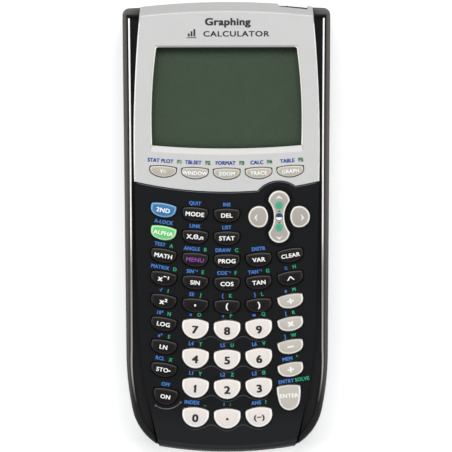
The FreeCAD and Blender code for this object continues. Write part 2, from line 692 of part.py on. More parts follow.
def make_key(label, shape, top, place):
    """A key: a cap that stands through the plate and a flange that keeps it in."""
    body = new_body(label + "_body")
    plan = new_sketch(body, label + "_plan", dim.key_bottom)
    draw_key_plan(plan, shape)
    pad(body, plan, top - dim.key_bottom)
    spring = shape_size(shape, "height") / 2 - shape_size(shape, "sag") - shape_size(shape, "shoulder")
    corner = shape_size(shape, "corner")
    corners = upright_edges(body.Shape, lambda p: p.y > spring.value + 0.1)
    fillet(body, "corner_round", corners, corner)
    flange = new_sketch(body, label + "_flange", dim.key_bottom)
    draw_key_plan(flange, shape, dim.flange_rim)
    pad(body, flange, dim.flange_thick)
    rim_x = shape_size(shape, "half") + dim.flange_rim
    corners = upright_edges(body.Shape, lambda p: p.y > spring.value + 0.1
                            and abs(p.x) > rim_x.value - 0.01)
    fillet(body, "flange_corner_round", corners, corner + dim.flange_rim)
    return finish_key(body, label, top, place)


def keypad_place(column, base_y, angle_step, radius, shift=0.0):
    """Place on a row that curves upwards on both sides of the middle column."""
    angle = angle_step * column
    x = radius * sine(angle) + shift
    y = as_size(base_y) + radius * (as_size(1) - cosine(angle))
    return x, y, angle


KEY_COLUMNS = {
    -2: (0, ["second", "alpha", "math", "inverse", "square", "log", "ln", "store"], []),
    -1: (0, ["mode", "variable", "apps", "sin", "comma"], ["7", "4", "1", "0"]),
    0: (0, ["delete", "stat", "program", "cos", "left_bracket"], ["8", "5", "2", "point"]),
    1: (2, ["vars", "tan", "right_bracket"], ["9", "6", "3", "negative"]),
    2: (2, ["clear", "power", "divide", "multiply", "minus", "plus"], []),
}


def keypad_keys():
    """Name, shape and place of every key that stands through the deck, apart from the pad."""
    keys = []
    for column, (first_row, small_names, number_names) in KEY_COLUMNS.items():
        for row, name in enumerate(small_names, first_row):
            base_y = dim.first_row - dim.row_pitch * row
            keys.append((name, "small", keypad_place(column, base_y, dim.column_angle, dim.row_radius)))
        for row, name in enumerate(number_names):
            base_y = dim.number_row - dim.number_pitch * row
            keys.append((name, "number", keypad_place(column, base_y, dim.column_angle, dim.row_radius)))
    keys.append(("on", "power",
                 keypad_place(-2, dim.foot_row, dim.column_angle, dim.row_radius, dim.foot_shift)))
    x, y, angle = keypad_place(2, dim.foot_row - dim.enter_drop, dim.column_angle, dim.row_radius,
                               -dim.foot_shift)
    keys.append(("enter", "enter", (x, y, angle - dim.enter_lean)))
    return keys


def soft_keys():
    return [(str(column + 3), "soft",
             keypad_place(column, dim.soft_row, dim.soft_angle, dim.soft_radius))
            for column in range(-2, 3)]


def make_rocker():
    """Up and down rocker: two round lobes joined by a waist, on a pair of pivot lugs."""
    body = new_body("rocker_body")
    plan = new_sketch(body, "rocker_plan", dim.key_bottom)
    lobe_y = dim.rocker_half_length - dim.lobe_radius
    right = [
        (dim.lobe_radius, -lobe_y, ZERO, -dim.rocker_half_length),
        (dim.lobe_radius, lobe_y, dim.waist_half, ZERO),
    ]
    left = left_half(right)
    left[0] += (ZERO, dim.rocker_half_length)
    draw_path(plan, right + left)
    pad(body, plan, dim.key_top - dim.key_bottom)
    corners = upright_edges(body.Shape, lambda p: abs(p.x) > dim.waist_half.value)
    fillet(body, "corner_round", corners, dim.corner_round)
    block(body, "Additive", "pivot_lugs", (-dim.pivot_half, -dim.pivot_reach, dim.key_bottom),
          (dim.pivot_half * 2, dim.pivot_reach * 2, dim.flange_thick))
    return finish_key(body, "key_up_down", dim.key_top, (dim.pad_x, dim.pad_y, ZERO))


def make_side_key(label, side):
    """Left or right key of the pad: two bowed edges that meet in rounded corners."""
    body = new_body(label + "_body")
    plan = new_sketch(body, label + "_plan", dim.key_bottom)
    tip = dim.side_key_tip * side
    corners = [
        (tip, -dim.side_key_half, tip - dim.side_key_belly * side, ZERO),
        (tip, dim.side_key_half, tip + dim.side_key_reach * side, ZERO),
    ]
    draw_path(plan, corners)
    pad(body, plan, dim.key_top - dim.key_bottom)
    fillet(body, "corner_round", upright_edges(body.Shape, lambda p: True), dim.corner_round)
    inner = tip - dim.side_key_belly * side
    outer = tip + dim.side_key_reach * side
    low = inner if side > 0 else outer
    block(body, "Additive", "flange", (low, -dim.side_key_half - dim.flange_rim, dim.key_bottom),
          (dim.side_key_reach + dim.side_key_belly, (dim.side_key_half + dim.flange_rim) * 2,
           dim.flange_thick))
    return finish_key(body, label, dim.key_top, (dim.pad_x, dim.pad_y, ZERO))


# ---------------------------------------------------------------- display, board and membrane

def make_window():
    body = new_body("window_body")
    plan = new_sketch(body, "lens_plan", dim.plate_bottom - dim.lens_thick)
    draw_path(plan, window_outline(dim.lens_margin, dim.lens_margin))
    pad(body, plan, dim.lens_thick)
    return named(body, "display_window")


def make_lcd():
    """Display glass in its frame, standing on the board under the window."""
    body = new_body("lcd_body")
    board_top = dim.board_bottom + dim.board_thick
    glass_height = dim.plate_bottom - dim.lens_thick - board_top
    frame = dim.lcd_frame
    block(body, "Additive", "backplate", (-dim.lcd_half_width, dim.lcd_bottom, board_top),
          (dim.lcd_half_width * 2, dim.lcd_length, glass_height - dim.lcd_lip))
    block(body, "Additive", "glass", (frame - dim.lcd_half_width, dim.lcd_bottom + frame, board_top),
          ((dim.lcd_half_width - frame) * 2, dim.lcd_length - frame * 2, glass_height))
    return named(body, "lcd_module")


def board_corners(half, top, low_half, low_y):
    right = [(low_half, low_y), (half, dim.board_bend_y), (half, top)]
    return right + left_half(right)


def make_board():
    """Printed board with its chips and the two sockets soldered underneath."""
    body = new_body("board_body")
    plan = new_sketch(body, "board_plan", dim.board_bottom)
    draw_path(plan, board_corners(dim.board_half, dim.board_end, dim.board_low_half, dim.board_low_y))
    pad(body, plan, dim.board_thick)
    for x, y in SCREW_PLACES:
        rod(body, "Subtractive", "boss_hole", (x, y, dim.ledge), dim.board_hole, dim.floor_top * 2)

    parts = [body]
    chips = (("processor", 0.0, 4.0, 14.0, 14.0), ("memory", -20.0, -6.0, 12.0, 8.0),
             ("display_driver", 20.0, -4.0, 9.0, 9.0), ("link_chip", 26.0, 80.0, 7.0, 7.0))
    for name, x, y, width, length in chips:
        chip = doc.addObject("Part::Box", name)
        bind(chip, Length=width, Width=length, Height=dim.chip_height,
             Placement__Base__x=x - width / 2, Placement__Base__y=y - length / 2,
             Placement__Base__z=dim.board_bottom - dim.chip_height)
        parts.append(chip)

    jack_block = new_body("jack_body")
    block(jack_block, "Additive", "jack_block",
          (dim.jack_x - dim.jack_width / 2, dim.socket_y, dim.board_bottom - dim.jack_side),
          (dim.jack_width, dim.socket_length, dim.jack_side))
    rod_along_y(jack_block, "Subtractive", "jack_bore", (dim.jack_x, dim.socket_y + 1, jack_height()),
                dim.jack_bore, dim.socket_length)
    usb_block = new_body("usb_body")
    block(usb_block, "Additive", "usb_shell",
          (dim.usb_x - dim.usb_width / 2, dim.socket_y, dim.board_bottom - dim.usb_height),
          (dim.usb_width, dim.socket_length, dim.usb_height))
    sheet_metal = dim.contact_thick
    block(usb_block, "Subtractive", "usb_slot",
          (dim.usb_x - dim.usb_width / 2 + sheet_metal, dim.socket_y + sheet_metal,
           dim.board_bottom - dim.usb_height + sheet_metal),
          (dim.usb_width - sheet_metal * 2, dim.socket_length, dim.usb_height - sheet_metal * 2))
    block(usb_block, "Additive", "usb_tongue",
          (dim.usb_x - dim.usb_width / 4, dim.socket_y, dim.board_bottom - dim.usb_height / 2),
          (dim.usb_width / 2, dim.socket_length - 1, dim.contact_thick * 2))
    parts.extend([jack_block, usb_block])
    doc.recompute()
    whole = doc.addObject("Part::Compound", "board_with_parts")
    whole.Links = parts
    return named(whole, "circuit_board")


def make_membrane(key_places):
    """Rubber sheet on the board with a low dome under every key, drawn as pressed."""
    body = new_body("membrane_body")
    board_top = dim.board_bottom + dim.board_thick
    plan = new_sketch(body, "membrane_plan", board_top)
    draw_path(plan, board_corners(dim.board_half - 1.0, dim.membrane_top_y, dim.board_low_half - 1.0,
                                  dim.board_low_y + 1.0))
    pad(body, plan, dim.membrane_thick)
    sheet_top = board_top + dim.membrane_thick
    domes = new_sketch(body, "dome_plan", sheet_top)
    for x, y in key_places:
        draw_circle(domes, x, y, dim.dome_radius)
    pad(body, domes, dim.key_bottom - dim.travel - dim.dome_gap - sheet_top)
    for x, y in DECK_SCREWS:
        rod(body, "Subtractive", "boss_hole", (x, y, dim.ledge), dim.board_hole, dim.floor_top * 3)
    return named(body, "key_membrane")


# ---------------------------------------------------------------- cells, contacts and screws

def made_by_code(label, solids):
    """A sub-part whose solids are worked out here from the sheet."""
    feature = doc.addObject("Part::Feature", label)
    feature.Shape = Part.makeCompound(solids)
    return named(feature, label)


def cell_rows():
    """Middle of each cell across the bay, and whether its button end is at the top."""
    pitch = dim.cell_pitch.value
    return [((index - 1.5) * pitch, index % 2 == 0) for index in range(4)]


def make_batteries():
    solids = []
    length = dim.cell_length.value
    nub = dim.cell_nub.value
    start = dim.cell_bottom.value
    for x, button_up in cell_rows():
        base = start if button_up else start + nub
        can = Part.makeCylinder(dim.cell_radius.value, length, Vector(x, base, dim.cell_axis.value),
                                Vector(0, 1, 0))
        nub_y = base + length if button_up else start
        button = Part.makeCylinder(dim.cell_nub_radius.value, nub, Vector(x, nub_y, dim.cell_axis.value),
                                   Vector(0, 1, 0))
        solids.append(can.fuse(button).removeSplitter())
    coin_z = dim.board_bottom.value - dim.coin_height.value
    solids.append(Part.makeCylinder(dim.coin_radius.value, dim.coin_height.value,
                                    Vector(0, dim.coin_y.value, coin_z)))
    return made_by_code("batteries", solids)


def make_contacts():
    """At each end of each cell: a plate, with a conical spring or a button to meet the cell."""
    solids = []
    thick = dim.contact_thick.value
    width = dim.contact_width.value
    low_end = dim.bay_bottom.value
    high_end = low_end + dim.bay_length.value
    cell_low = dim.cell_bottom.value
    cell_high = cell_low + dim.cell_length.value + dim.cell_nub.value
    axis_z = dim.cell_axis.value
    slack = dim.contact_slack.value
    for x, button_up in cell_rows():
        for at_top in (False, True):
            plate_y = high_end - thick if at_top else low_end
            plate = Part.makeBox(width, thick, width, Vector(x - width / 2, plate_y, axis_z - width / 2))
            face_y = plate_y if at_top else plate_y + thick
            gap = (face_y - cell_high if at_top else cell_low - face_y) - slack
            outward = Vector(0, -1 if at_top else 1, 0)
            button_here = button_up == at_top
            wide = dim.cell_nub_radius.value if button_here else width / 2 - slack
            narrow = dim.cell_nub_radius.value if button_here else dim.spring_tip.value
            place = Vector(x, face_y, axis_z)
            if button_here:
                touch = Part.makeCylinder(wide, gap, place, outward)
            else:
                touch = Part.makeCone(wide, narrow, gap, place, outward)
            solids.append(plate.fuse(touch).removeSplitter())
    return made_by_code("battery_contacts", solids)


def make_screws():
    """Six pan-head screws driven from the back."""
    solids = []
    seat = dim.head_seat.value
    for x, y in SCREW_PLACES:
        head = Part.makeCylinder(dim.head_radius.value, dim.head_height.value,
                                 Vector(x.value, y.value, seat - dim.head_height.value))
        head = head.cut(cross_recess(x.value, y.value, seat - dim.head_height.value))
        shank = Part.makeCylinder(dim.screw_radius.value, dim.screw_end.value - seat,
                                  Vector(x.value, y.value, seat))
        solids.append(head.fuse(shank).removeSplitter())
    return made_by_code("case_screws", solids)


def cross_recess(x, y, face_z):
    """Cross-shaped recess of a screw head, open towards the back."""
    long_side = dim.head_radius.value * 1.2
    short_side = dim.head_radius.value * 0.3
    depth = dim.head_height.value * 0.6
    bars = [Part.makeBox(width, length, depth, Vector(x - width / 2, y - length / 2, face_z))
            for width, length in ((long_side, short_side), (short_side, long_side))]
    return bars[0].fuse(bars[1])


# ---------------------------------------------------------------- assembly

make_rear_case()
make_battery_door()
deck_keys = [make_key("key_" + name, shape, dim.key_top, place) for name, shape, place in keypad_keys()]
bezel_keys = [make_key("soft_key_" + name, shape, dim.soft_key_top, place)
              for name, shape, place in soft_keys()]
rocker = make_rocker()
side_keys = [make_side_key("key_left", -1), make_side_key("key_right", 1)]

cut_openings(make_bezel_shell(), make_openings("soft_key_holes", bezel_keys), "display_bezel")
deck_tool = make_openings("deck_key_holes", deck_keys + [rocker] + side_keys, [make_moat(rocker)])
cut_openings(make_deck_shell(), deck_tool, "front_deck")

make_window()
make_lcd()
make_board()
dome_places = [place[:2] for _, _, place in keypad_keys() + soft_keys()]
pad_reach = dim.side_key_tip + 1.0
lobe_reach = dim.rocker_half_length - dim.lobe_radius
dome_places += [(dim.pad_x - pad_reach, dim.pad_y), (dim.pad_x + pad_reach, dim.pad_y),
                (dim.pad_x, dim.pad_y - lobe_reach), (dim.pad_x, dim.pad_y + lobe_reach)]
make_membrane(dome_places)
make_batteries()
make_contacts()
make_screws()

doc.recompute()
for item in doc.Objects:
    if "Invalid" in item.State or "Error" in item.State:
        raise RuntimeError(f"{item.Name} ({item.Label}) failed: {item.State}")
os.makedirs("parts", exist_ok=True)
for piece in pieces:
    shape = piece.Shape
    if shape.isNull() or not shape.isValid() or not shape.Solids:
        raise RuntimeError(f"{piece.Label} has no valid shape")
    shape.exportStep(f"parts/{piece.Label}.step")
print(len(pieces), "sub-parts written")
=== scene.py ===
"""Looks of the graphing calculator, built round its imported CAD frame."""
import json
import math

import bmesh
import bpy
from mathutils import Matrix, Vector
from mathutils.bvhtree import BVHTree


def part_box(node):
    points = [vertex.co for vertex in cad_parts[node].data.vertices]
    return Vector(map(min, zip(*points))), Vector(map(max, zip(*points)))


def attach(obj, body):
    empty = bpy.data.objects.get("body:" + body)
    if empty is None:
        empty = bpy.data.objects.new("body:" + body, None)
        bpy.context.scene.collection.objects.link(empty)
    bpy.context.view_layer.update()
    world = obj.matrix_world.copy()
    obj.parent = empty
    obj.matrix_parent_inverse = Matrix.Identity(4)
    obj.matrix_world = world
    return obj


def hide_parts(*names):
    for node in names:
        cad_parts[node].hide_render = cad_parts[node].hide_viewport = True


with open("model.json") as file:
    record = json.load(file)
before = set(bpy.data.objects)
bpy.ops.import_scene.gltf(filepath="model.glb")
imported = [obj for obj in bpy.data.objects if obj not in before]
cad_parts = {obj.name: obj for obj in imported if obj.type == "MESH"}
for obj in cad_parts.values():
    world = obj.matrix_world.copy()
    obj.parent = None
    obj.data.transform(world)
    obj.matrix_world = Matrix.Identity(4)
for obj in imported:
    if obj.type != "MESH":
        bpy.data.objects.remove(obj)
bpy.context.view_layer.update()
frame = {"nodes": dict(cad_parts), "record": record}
nodes = frame["nodes"]

MM = 0.001
DECK_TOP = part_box("front_deck")[1].z
BEZEL_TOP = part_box("display_bezel")[1].z
KEY_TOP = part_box("key_5")[1].z
SOFT_KEY_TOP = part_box("soft_key_3")[1].z
KEY_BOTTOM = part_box("key_5")[0].z


# ---------------------------------------------------------------- materials

def srgb(red, green, blue):
    """A screen colour, 0 to 255, as the linear colour that shaders take."""
    linear = []
    for value in (red, green, blue):
        share = value / 255
        linear.append(share / 12.92 if share <= 0.04045 else ((share + 0.055) / 1.055) ** 2.4)
    return (*linear, 1.0)


def add(tree, kind, **settings):
    node = tree.nodes.new(kind)
    for name, value in settings.items():
        setattr(node, name, value)
    return node


def feed(tree, value, socket):
    """Link a node's output to a socket, or set a plain value on it."""
    if isinstance(value, bpy.types.NodeSocket):
        tree.links.new(value, socket)
    else:
        socket.default_value = value


def set_inputs(node, values):
    for name, value in values.items():
        node.inputs[name].default_value = value


def new_material(name):
    material = bpy.data.materials.new(name)
    material.use_nodes = True
    tree = material.node_tree
    return material, tree, tree.nodes["Principled BSDF"]


def noise(tree, coords, size, detail=2.0):
    """Noise whose features are about size metres across."""
    node = add(tree, "ShaderNodeTexNoise")
    set_inputs(node, {"Scale": 1 / size, "Detail": detail})
    tree.links.new(coords.outputs["Object"], node.inputs["Vector"])
    return node.outputs["Fac"]


def spread(tree, factor, low, high, lowest=0.3, highest=0.7, smooth=False):
    """A value between lowest and highest stretched to run from low to high."""
    node = add(tree, "ShaderNodeMapRange")
    if smooth:
        node.interpolation_type = "SMOOTHSTEP"
    set_inputs(node, {"From Min": lowest, "From Max": highest, "To Min": low, "To Max": high})
    tree.links.new(factor, node.inputs["Value"])
    return node.outputs["Result"]


def blend_colours(tree, factor, first, second, kind="MIX"):
    node = add(tree, "ShaderNodeMix", data_type="RGBA", blend_type=kind)
    feed(tree, factor, node.inputs[0])
    feed(tree, first, node.inputs[6])
    feed(tree, second, node.inputs[7])
    return node.outputs[2]


def maths(tree, operation, *values):
    node = add(tree, "ShaderNodeMath", operation=operation)
    for value, socket in zip(values, node.inputs):
        feed(tree, value, socket)
    return node.outputs[0]


def product(tree, first, *others):
    for other in others:
        first = maths(tree, "MULTIPLY", first, other)
    return first


def axes(tree, coords):
    """X, Y and Z of the place on the object, in metres."""
    node = add(tree, "ShaderNodeSeparateXYZ")
    tree.links.new(coords.outputs["Object"], node.inputs[0])
    return node.outputs


def dimmed(colour, share):
    return (colour[0] * share, colour[1] * share, colour[2] * share, 1.0)


def moulded(name, colour, roughness, variation=0.06, mottle=0.006, grain=0.00035, depth=0.000004,
            specular=0.5, metallic=0.0, rim=None, paint=None):
    """Moulded plastic: slow colour drift, uneven gloss and a fine grain.

    rim is the colour of a painted highlight on rounded edges, where the mesh says edge. paint adds
    more to the colour.
    """
    material, tree, shader = new_material(name)
    coords = add(tree, "ShaderNodeTexCoord")
    slow = noise(tree, coords, mottle, 3.0)
    colour_out = blend_colours(tree, spread(tree, slow, 0.0, 1.0), dimmed(colour, 1 - variation),
                               dimmed(colour, 1 + variation))
    if paint:
        colour_out = paint(tree, axes(tree, coords), colour_out)
    if rim:
        # Painted highlight on the rounded rims of keys.
        edge = add(tree, "ShaderNodeAttribute", attribute_name="edge")
        rim_highlight = product(tree, edge.outputs["Fac"], spread(tree, slow, 0.8, 1.0))
        colour_out = blend_colours(tree, rim_highlight, colour_out, rim)
    tree.links.new(colour_out, shader.inputs["Base Color"])
    fine = noise(tree, coords, grain, 2.0)
    tree.links.new(spread(tree, fine, roughness - ROUGH_SPREAD, roughness + ROUGH_SPREAD),
                   shader.inputs["Roughness"])
    bump = add(tree, "ShaderNodeBump")
    set_inputs(bump, {"Distance": depth})
    tree.links.new(fine, bump.inputs["Height"])
    tree.links.new(bump.outputs["Normal"], shader.inputs["Normal"])
    set_inputs(shader, {"Specular IOR Level": specular, "Metallic": metallic})
    return material


def clear_pane(name):
    """Clear acrylic that lets lamps through to the display behind it."""
    material, tree, shader = new_material(name)
    set_inputs(shader, {"Base Color": (0.97, 0.98, 0.97, 1), "Transmission Weight": 1.0, "IOR": 1.49})
    coords = add(tree, "ShaderNodeTexCoord")
    haze = noise(tree, coords, 0.004, 2.0)
    tree.links.new(spread(tree, haze, 0.01, 0.05), shader.inputs["Roughness"])
    path = add(tree, "ShaderNodeLightPath")
    clear = add(tree, "ShaderNodeBsdfTransparent")
    mix = add(tree, "ShaderNodeMixShader")
    tree.links.new(path.outputs["Is Shadow Ray"], mix.inputs["Fac"])
    tree.links.new(shader.outputs["BSDF"], mix.inputs[1])
    tree.links.new(clear.outputs["BSDF"], mix.inputs[2])
    tree.links.new(mix.outputs["Shader"], tree.nodes["Material Output"].inputs["Surface"])
    return material


def placed(name, data):
    """A new object in the scene."""
    obj = bpy.data.objects.new(name, data)
    bpy.context.scene.collection.objects.link(obj)
    return obj


def give(obj, material):
    obj.data.materials.clear()
    obj.data.materials.append(material)


def lcd_painted_shade(tree, place, colour):
    """Painted shade from the deep window: the cell is darker towards its frame, most at the top
    and at the bottom.
    """
    top = spread(tree, place["Y"], 1.0, 0.0, LCD_TOP - 3.0 * MM, LCD_TOP - 0.8 * MM, smooth=True)
    middle_x = product(tree, place["X"], place["X"])
    sagged = maths(tree, "MULTIPLY_ADD", middle_x, -LCD_SAG, place["Y"])
    low = spread(tree, sagged, 0.0, 1.0, LCD_LOW + 0.2 * MM, LCD_LOW + 2.4 * MM, smooth=True)
    shade = product(tree, top, maths(tree, "MULTIPLY_ADD", low, 0.5, 0.5))
    dark = blend_colours(tree, 1.0, colour, (0.25, 0.24, 0.2, 1), "MULTIPLY")
    return blend_colours(tree, shade, dark, colour)


def pad_patches(tree, place, colour):
    """Two soft green patches on the waist of the rocker."""
    across = maths(tree, "SUBTRACT", place["X"], PAD_X)
    for centre in PATCHES:
        along = maths(tree, "SUBTRACT", place["Y"], PAD_Y + centre)
        square = product(tree, across, across)
        far = maths(tree, "SQRT", maths(tree, "MULTIPLY_ADD", along, along, square))
        patch = spread(tree, far, 1.0, 0.0, 1.1 * MM, 2.3 * MM, smooth=True)
        colour = blend_colours(tree, patch, colour, srgb(66, 160, 128))
    return colour


def within(tree, value, low, high, soft):
    """One between two values and zero outside them, with soft steps."""
    rise = spread(tree, value, 0.0, 1.0, low - soft, low + soft, smooth=True)
    fall = spread(tree, value, 1.0, 0.0, high - soft, high + soft, smooth=True)
    return product(tree, rise, fall)


def silver_shading(tree, place, colour):
    """Silver paint: painted shade on the sloped end, painted highlights in the scoop and on the outer
    edges, and a cream painted highlight on the window's rim.
    """
    far = maths(tree, "ABSOLUTE", place["X"])
    square = product(tree, place["X"], place["X"])
    sunk = spread(tree, place["Z"], 1.0, 0.0, BEZEL_TOP - 0.5 * MM, BEZEL_TOP - 0.1 * MM)
    end = spread(tree, place["Y"], 0.0, 1.0, SLOPE_FOOT, SLOPE_FOOT + 1 * MM)
    slope = product(tree, sunk, end)
    # Painted shade: the sloped top end is darker.
    shaded_silver = blend_colours(tree, 1.0, colour, (0.74, 0.74, 0.74, 1), "MULTIPLY")
    colour = blend_colours(tree, slope, colour, shaded_silver)
    # Painted highlight: a cream line on the window's side rims.
    sides = within(tree, far, WINDOW_SIDE - 3.6 * MM, WINDOW_SIDE, 0.1 * MM)
    rows = within(tree, place["Y"], LCD_LOW + 1.7 * MM, LCD_TOP + 1.6 * MM, 0.5 * MM)
    rim = product(tree, sides, rows, sunk)
    colour = blend_colours(tree, rim, colour, srgb(250, 249, 238))
    # Painted highlight along the rounded outer edges, down the sides.
    rounded_edge = within(tree, place["Z"], BEZEL_TOP - 0.5 * MM, BEZEL_TOP - 0.06 * MM, 0.04 * MM)
    outermost = spread(tree, far, 0.0, 1.0, FLANK_X, FLANK_X + 0.5 * MM)
    shine = product(tree, rounded_edge, outermost)
    flank = spread(tree, place["Y"], 1.0, 0.0, SLOPE_FOOT, SLOPE_FOOT + 1 * MM)
    colour = blend_colours(tree, product(tree, shine, flank), colour, srgb(236, 236, 233))
    # Painted highlight in the scoop below the window.
    sagged = maths(tree, "MULTIPLY_ADD", square, -LCD_SAG, place["Y"])
    scoop_highlight = within(tree, sagged, LCD_LOW - 2.7 * MM, LCD_LOW - 0.5 * MM, 0.9 * MM)
    inside = spread(tree, far, 1.0, 0.0, WINDOW_SIDE - 1.4 * MM, WINDOW_SIDE - 0.2 * MM)
    return blend_colours(tree, product(tree, scoop_highlight, inside), colour, srgb(202, 202, 199))


def rail_shading(tree, place, colour):
    """Rear case: painted sheen, grey-brown, on its upper outer edge and on the caps at the top corners,
    lighter painted sheen low down and painted shade between the grip ribs.
    """
    far = maths(tree, "ABSOLUTE", place["X"])
    high = spread(tree, place["Z"], 0.0, 1.0, *RAIL_RISE, smooth=True)
    leaning = maths(tree, "MULTIPLY_ADD", place["Y"], -RAIL_LEAN, far)
    outer = spread(tree, leaning, 0.0, 1.0, RAIL_EDGE, RAIL_EDGE + 0.5 * MM, smooth=True)
    upper = spread(tree, place["Y"], 0.3, 1.0, *RAIL_SHEEN_FADE)
    edge_sheen = product(tree, outer, high, upper)
    # Painted sheen: the sides are lighter low down, towards the foot.
    lower = spread(tree, place["Y"], 1.0, 0.0, *RAIL_LOW_SHEEN, smooth=True)
    colour = blend_colours(tree, product(tree, lower, high), colour, srgb(29, 29, 28))
    # Painted sheen, grey-brown, on the upper outer edge, fading towards the foot.
    colour = blend_colours(tree, edge_sheen, colour, srgb(76, 71, 67))
    # Painted sheen on the caps at the top corners, lighter towards the outside.
    at_cap = spread(tree, place["Y"], 0.0, 1.0, CAP_FOOT, CAP_FOOT + 1.2 * MM, smooth=True)
    end = product(tree, at_cap, high)
    across = spread(tree, far, 0.0, 1.0, *CAP_ACROSS)
    cap_sheen = blend_colours(tree, across, srgb(68, 65, 62), srgb(92, 89, 86))
    colour = blend_colours(tree, end, colour, cap_sheen)
    # Painted shade in the grooves between the grip ribs.
    groove_shade = spread(tree, rib_grooves(tree, place, leaning), 0.0, 0.6, 0.0, 1.0)
    return blend_colours(tree, groove_shade, colour, srgb(30, 28, 27))


def deck_shading(tree, place, colour):
    """Painted sheen: the black shell is a little greyer near its foot."""
    foot = spread(tree, place["Y"], 1.0, 0.0, *DECK_FOOT, smooth=True)
    return blend_colours(tree, foot, colour, srgb(24, 25, 27))


def rib_grooves(tree, place, leaning):
    """One in the grooves between the grip ribs on the upper sides of the rear case."""
    wave = maths(tree, "SINE", product(tree, place["Y"], 2 * math.pi / RIB_PITCH))
    outer = spread(tree, leaning, 0.0, 1.0, RAIL_EDGE + 1.1 * MM, RAIL_EDGE + 1.4 * MM)
    rows = within(tree, place["Y"], RIBBED_FROM, RIBBED_TO, 0.5 * MM)
    return product(tree, wave, outer, rows)


def board_shading(tree, place, colour):
    """The green board with black chips and sockets under it, and a black strip at the sockets that is
    painted shade in the port notch.
    """
    under = spread(tree, place["Z"], 1.0, 0.0, BOARD_BOTTOM - 0.06 * MM, BOARD_BOTTOM - 0.04 * MM)
    # Painted shade: the strip at the sockets is black.
    socket_strip_shade = spread(tree, place["Y"], 0.0, 1.0, SOCKET_Y, SOCKET_Y + 0.1 * MM)
    return blend_colours(tree, maths(tree, "MAXIMUM", under, socket_strip_shade), colour, srgb(22, 22, 24))


def bead_shading(tree, place, colour):
    """Painted highlight: the beads are bright beside the display, grey beside the keys and dark at the
    foot.
    """
    upper = spread(tree, place["Y"], 0.0, 1.0, *BEAD_BRIGHT, smooth=True)
    middle = spread(tree, place["Y"], 0.0, 1.0, *BEAD_GREY, smooth=True)
    lower = blend_colours(tree, middle, srgb(46, 44, 42), srgb(158, 156, 153))
    return blend_colours(tree, upper, lower, colour)


# Places that the paints refer to. Pairs are where a change starts and ends. The rails' edge
# with its painted sheen leans by RAIL_LEAN along the case.
ROUGH_SPREAD = 0.06
DECK_FOOT = (-86 * MM, -74 * MM)
RAIL_EDGE, RAIL_LEAN, CAP_FOOT = 41.1 * MM, 0.013, 89.8 * MM
RAIL_RISE, RAIL_SHEEN_FADE, RAIL_LOW_SHEEN = (15.5 * MM, 17.0 * MM), (-76 * MM, 20 * MM), (-40 * MM, 0.0)
CAP_ACROSS = (36.5 * MM, 42.0 * MM)
BEAD_BRIGHT, BEAD_GREY = (-20 * MM, 2 * MM), (-76 * MM, -58 * MM)
RIB_PITCH, FIRST_RIB, LAST_RIB = 0.85 * MM, 51, 102
RIBBED_FROM, RIBBED_TO = 43 * MM, 88 * MM
RIB_LOW, RIB_TOP, RIB_HEIGHT = 4.5 * MM, 15.5 * MM, 0.12 * MM
# As shares of the pitch: where a rib's middle is, and half its width at the foot and at the crest.
RIB_PHASE, RIB_FOOT, RIB_CREST = 0.75, 0.26, 0.12
BOARD_BOTTOM, SOCKET_Y = 14.0 * MM, 84.0 * MM
LCD_TOP, LCD_LOW, LCD_SAG = 76.4 * MM, 33.3 * MM, 1.4
WINDOW_SIDE, FLANK_X, SLOPE_FOOT = 32.6 * MM, 35.5 * MM, 86 * MM
PAD_X, PAD_Y = 22.2 * MM, 4.3 * MM
PATCHES = (4.8 * MM, -4.6 * MM)
# PALE_RIM is a painted highlight on rounded key rims.
PALE_RIM = srgb(240, 236, 228)
PAD_GREY = srgb(167, 161, 152)

# Each slot: its colour, its roughness and what else its plastic or metal has. A rim colour is a
# painted highlight on the rounded edges of a key.
LOOKS = {
    "black_case": ((12, 13, 15), 0.42, {"variation": 0.12, "specular": 0.25, "paint": deck_shading}),
    "silver_case": ((196, 196, 194), 0.42, {"variation": 0.012, "paint": silver_shading}),
    "lcd_glass": ((70, 86, 68), 0.3, {"variation": 0.03, "paint": lcd_painted_shade}),
    "champagne_key": ((178, 172, 160), 0.4, {"variation": 0.02, "rim": srgb(205, 199, 186)}),
    "white_key": ((223, 215, 209), 0.38, {"variation": 0.01, "rim": srgb(250, 247, 242)}),
    "grey_key": ((187, 181, 171), 0.4, {"variation": 0.02, "rim": PALE_RIM}),
    "blue_key": ((50, 112, 166), 0.38, {"variation": 0.02, "rim": srgb(126, 168, 202)}),
    "green_key": ((104, 196, 110), 0.38, {"variation": 0.02, "rim": srgb(190, 232, 188)}),
    "black_key": ((19, 16, 15), 0.38, {"specular": 0.25, "rim": srgb(66, 60, 55)}),
    "board": ((24, 84, 50), 0.4, {"variation": 0.2, "mottle": 0.002, "paint": board_shading}),
    "silicone": ((88, 90, 94), 0.6, {}),
    "cell_jacket": ((46, 52, 66), 0.3, {"variation": 0.15}),
    "plated_spring": ((196, 194, 188), 0.25, {"metallic": 1.0}),
    "screw_steel": ((120, 120, 124), 0.3, {"metallic": 1.0}),
}
FINISHES = {"clear_window": clear_pane("clear_window")}
for slot_name, (colour, roughness, extras) in LOOKS.items():
    FINISHES[slot_name] = moulded(slot_name, srgb(*colour), roughness, **extras)
SLOTS = {row["node"]: row["material_slot"] for row in frame["record"]["subparts"]}
for node_name, slot_name in SLOTS.items():
    give(nodes[node_name], FINISHES[slot_name])
give(nodes["rear_case"], moulded("rail_black", srgb(15, 15, 16), 0.36, variation=0.12, specular=0.25,
                                 paint=rail_shading))
pad_grey = moulded("pad_grey", PAD_GREY, 0.4, variation=0.02, rim=PALE_RIM)
patched = moulded("pad_grey_patched", PAD_GREY, 0.4, variation=0.02, rim=PALE_RIM, paint=pad_patches)


# ---------------------------------------------------------------- outlines

ARC_STEPS = 24


def arc(centre, radius, start, end, count=ARC_STEPS):
    """Points on a circle from one angle to another, in radians, without the last."""
    return [(centre[0] + radius * math.cos(start + (end - start) * i / count),
             centre[1] + radius * math.sin(start + (end - start) * i / count)) for i in range(count)]


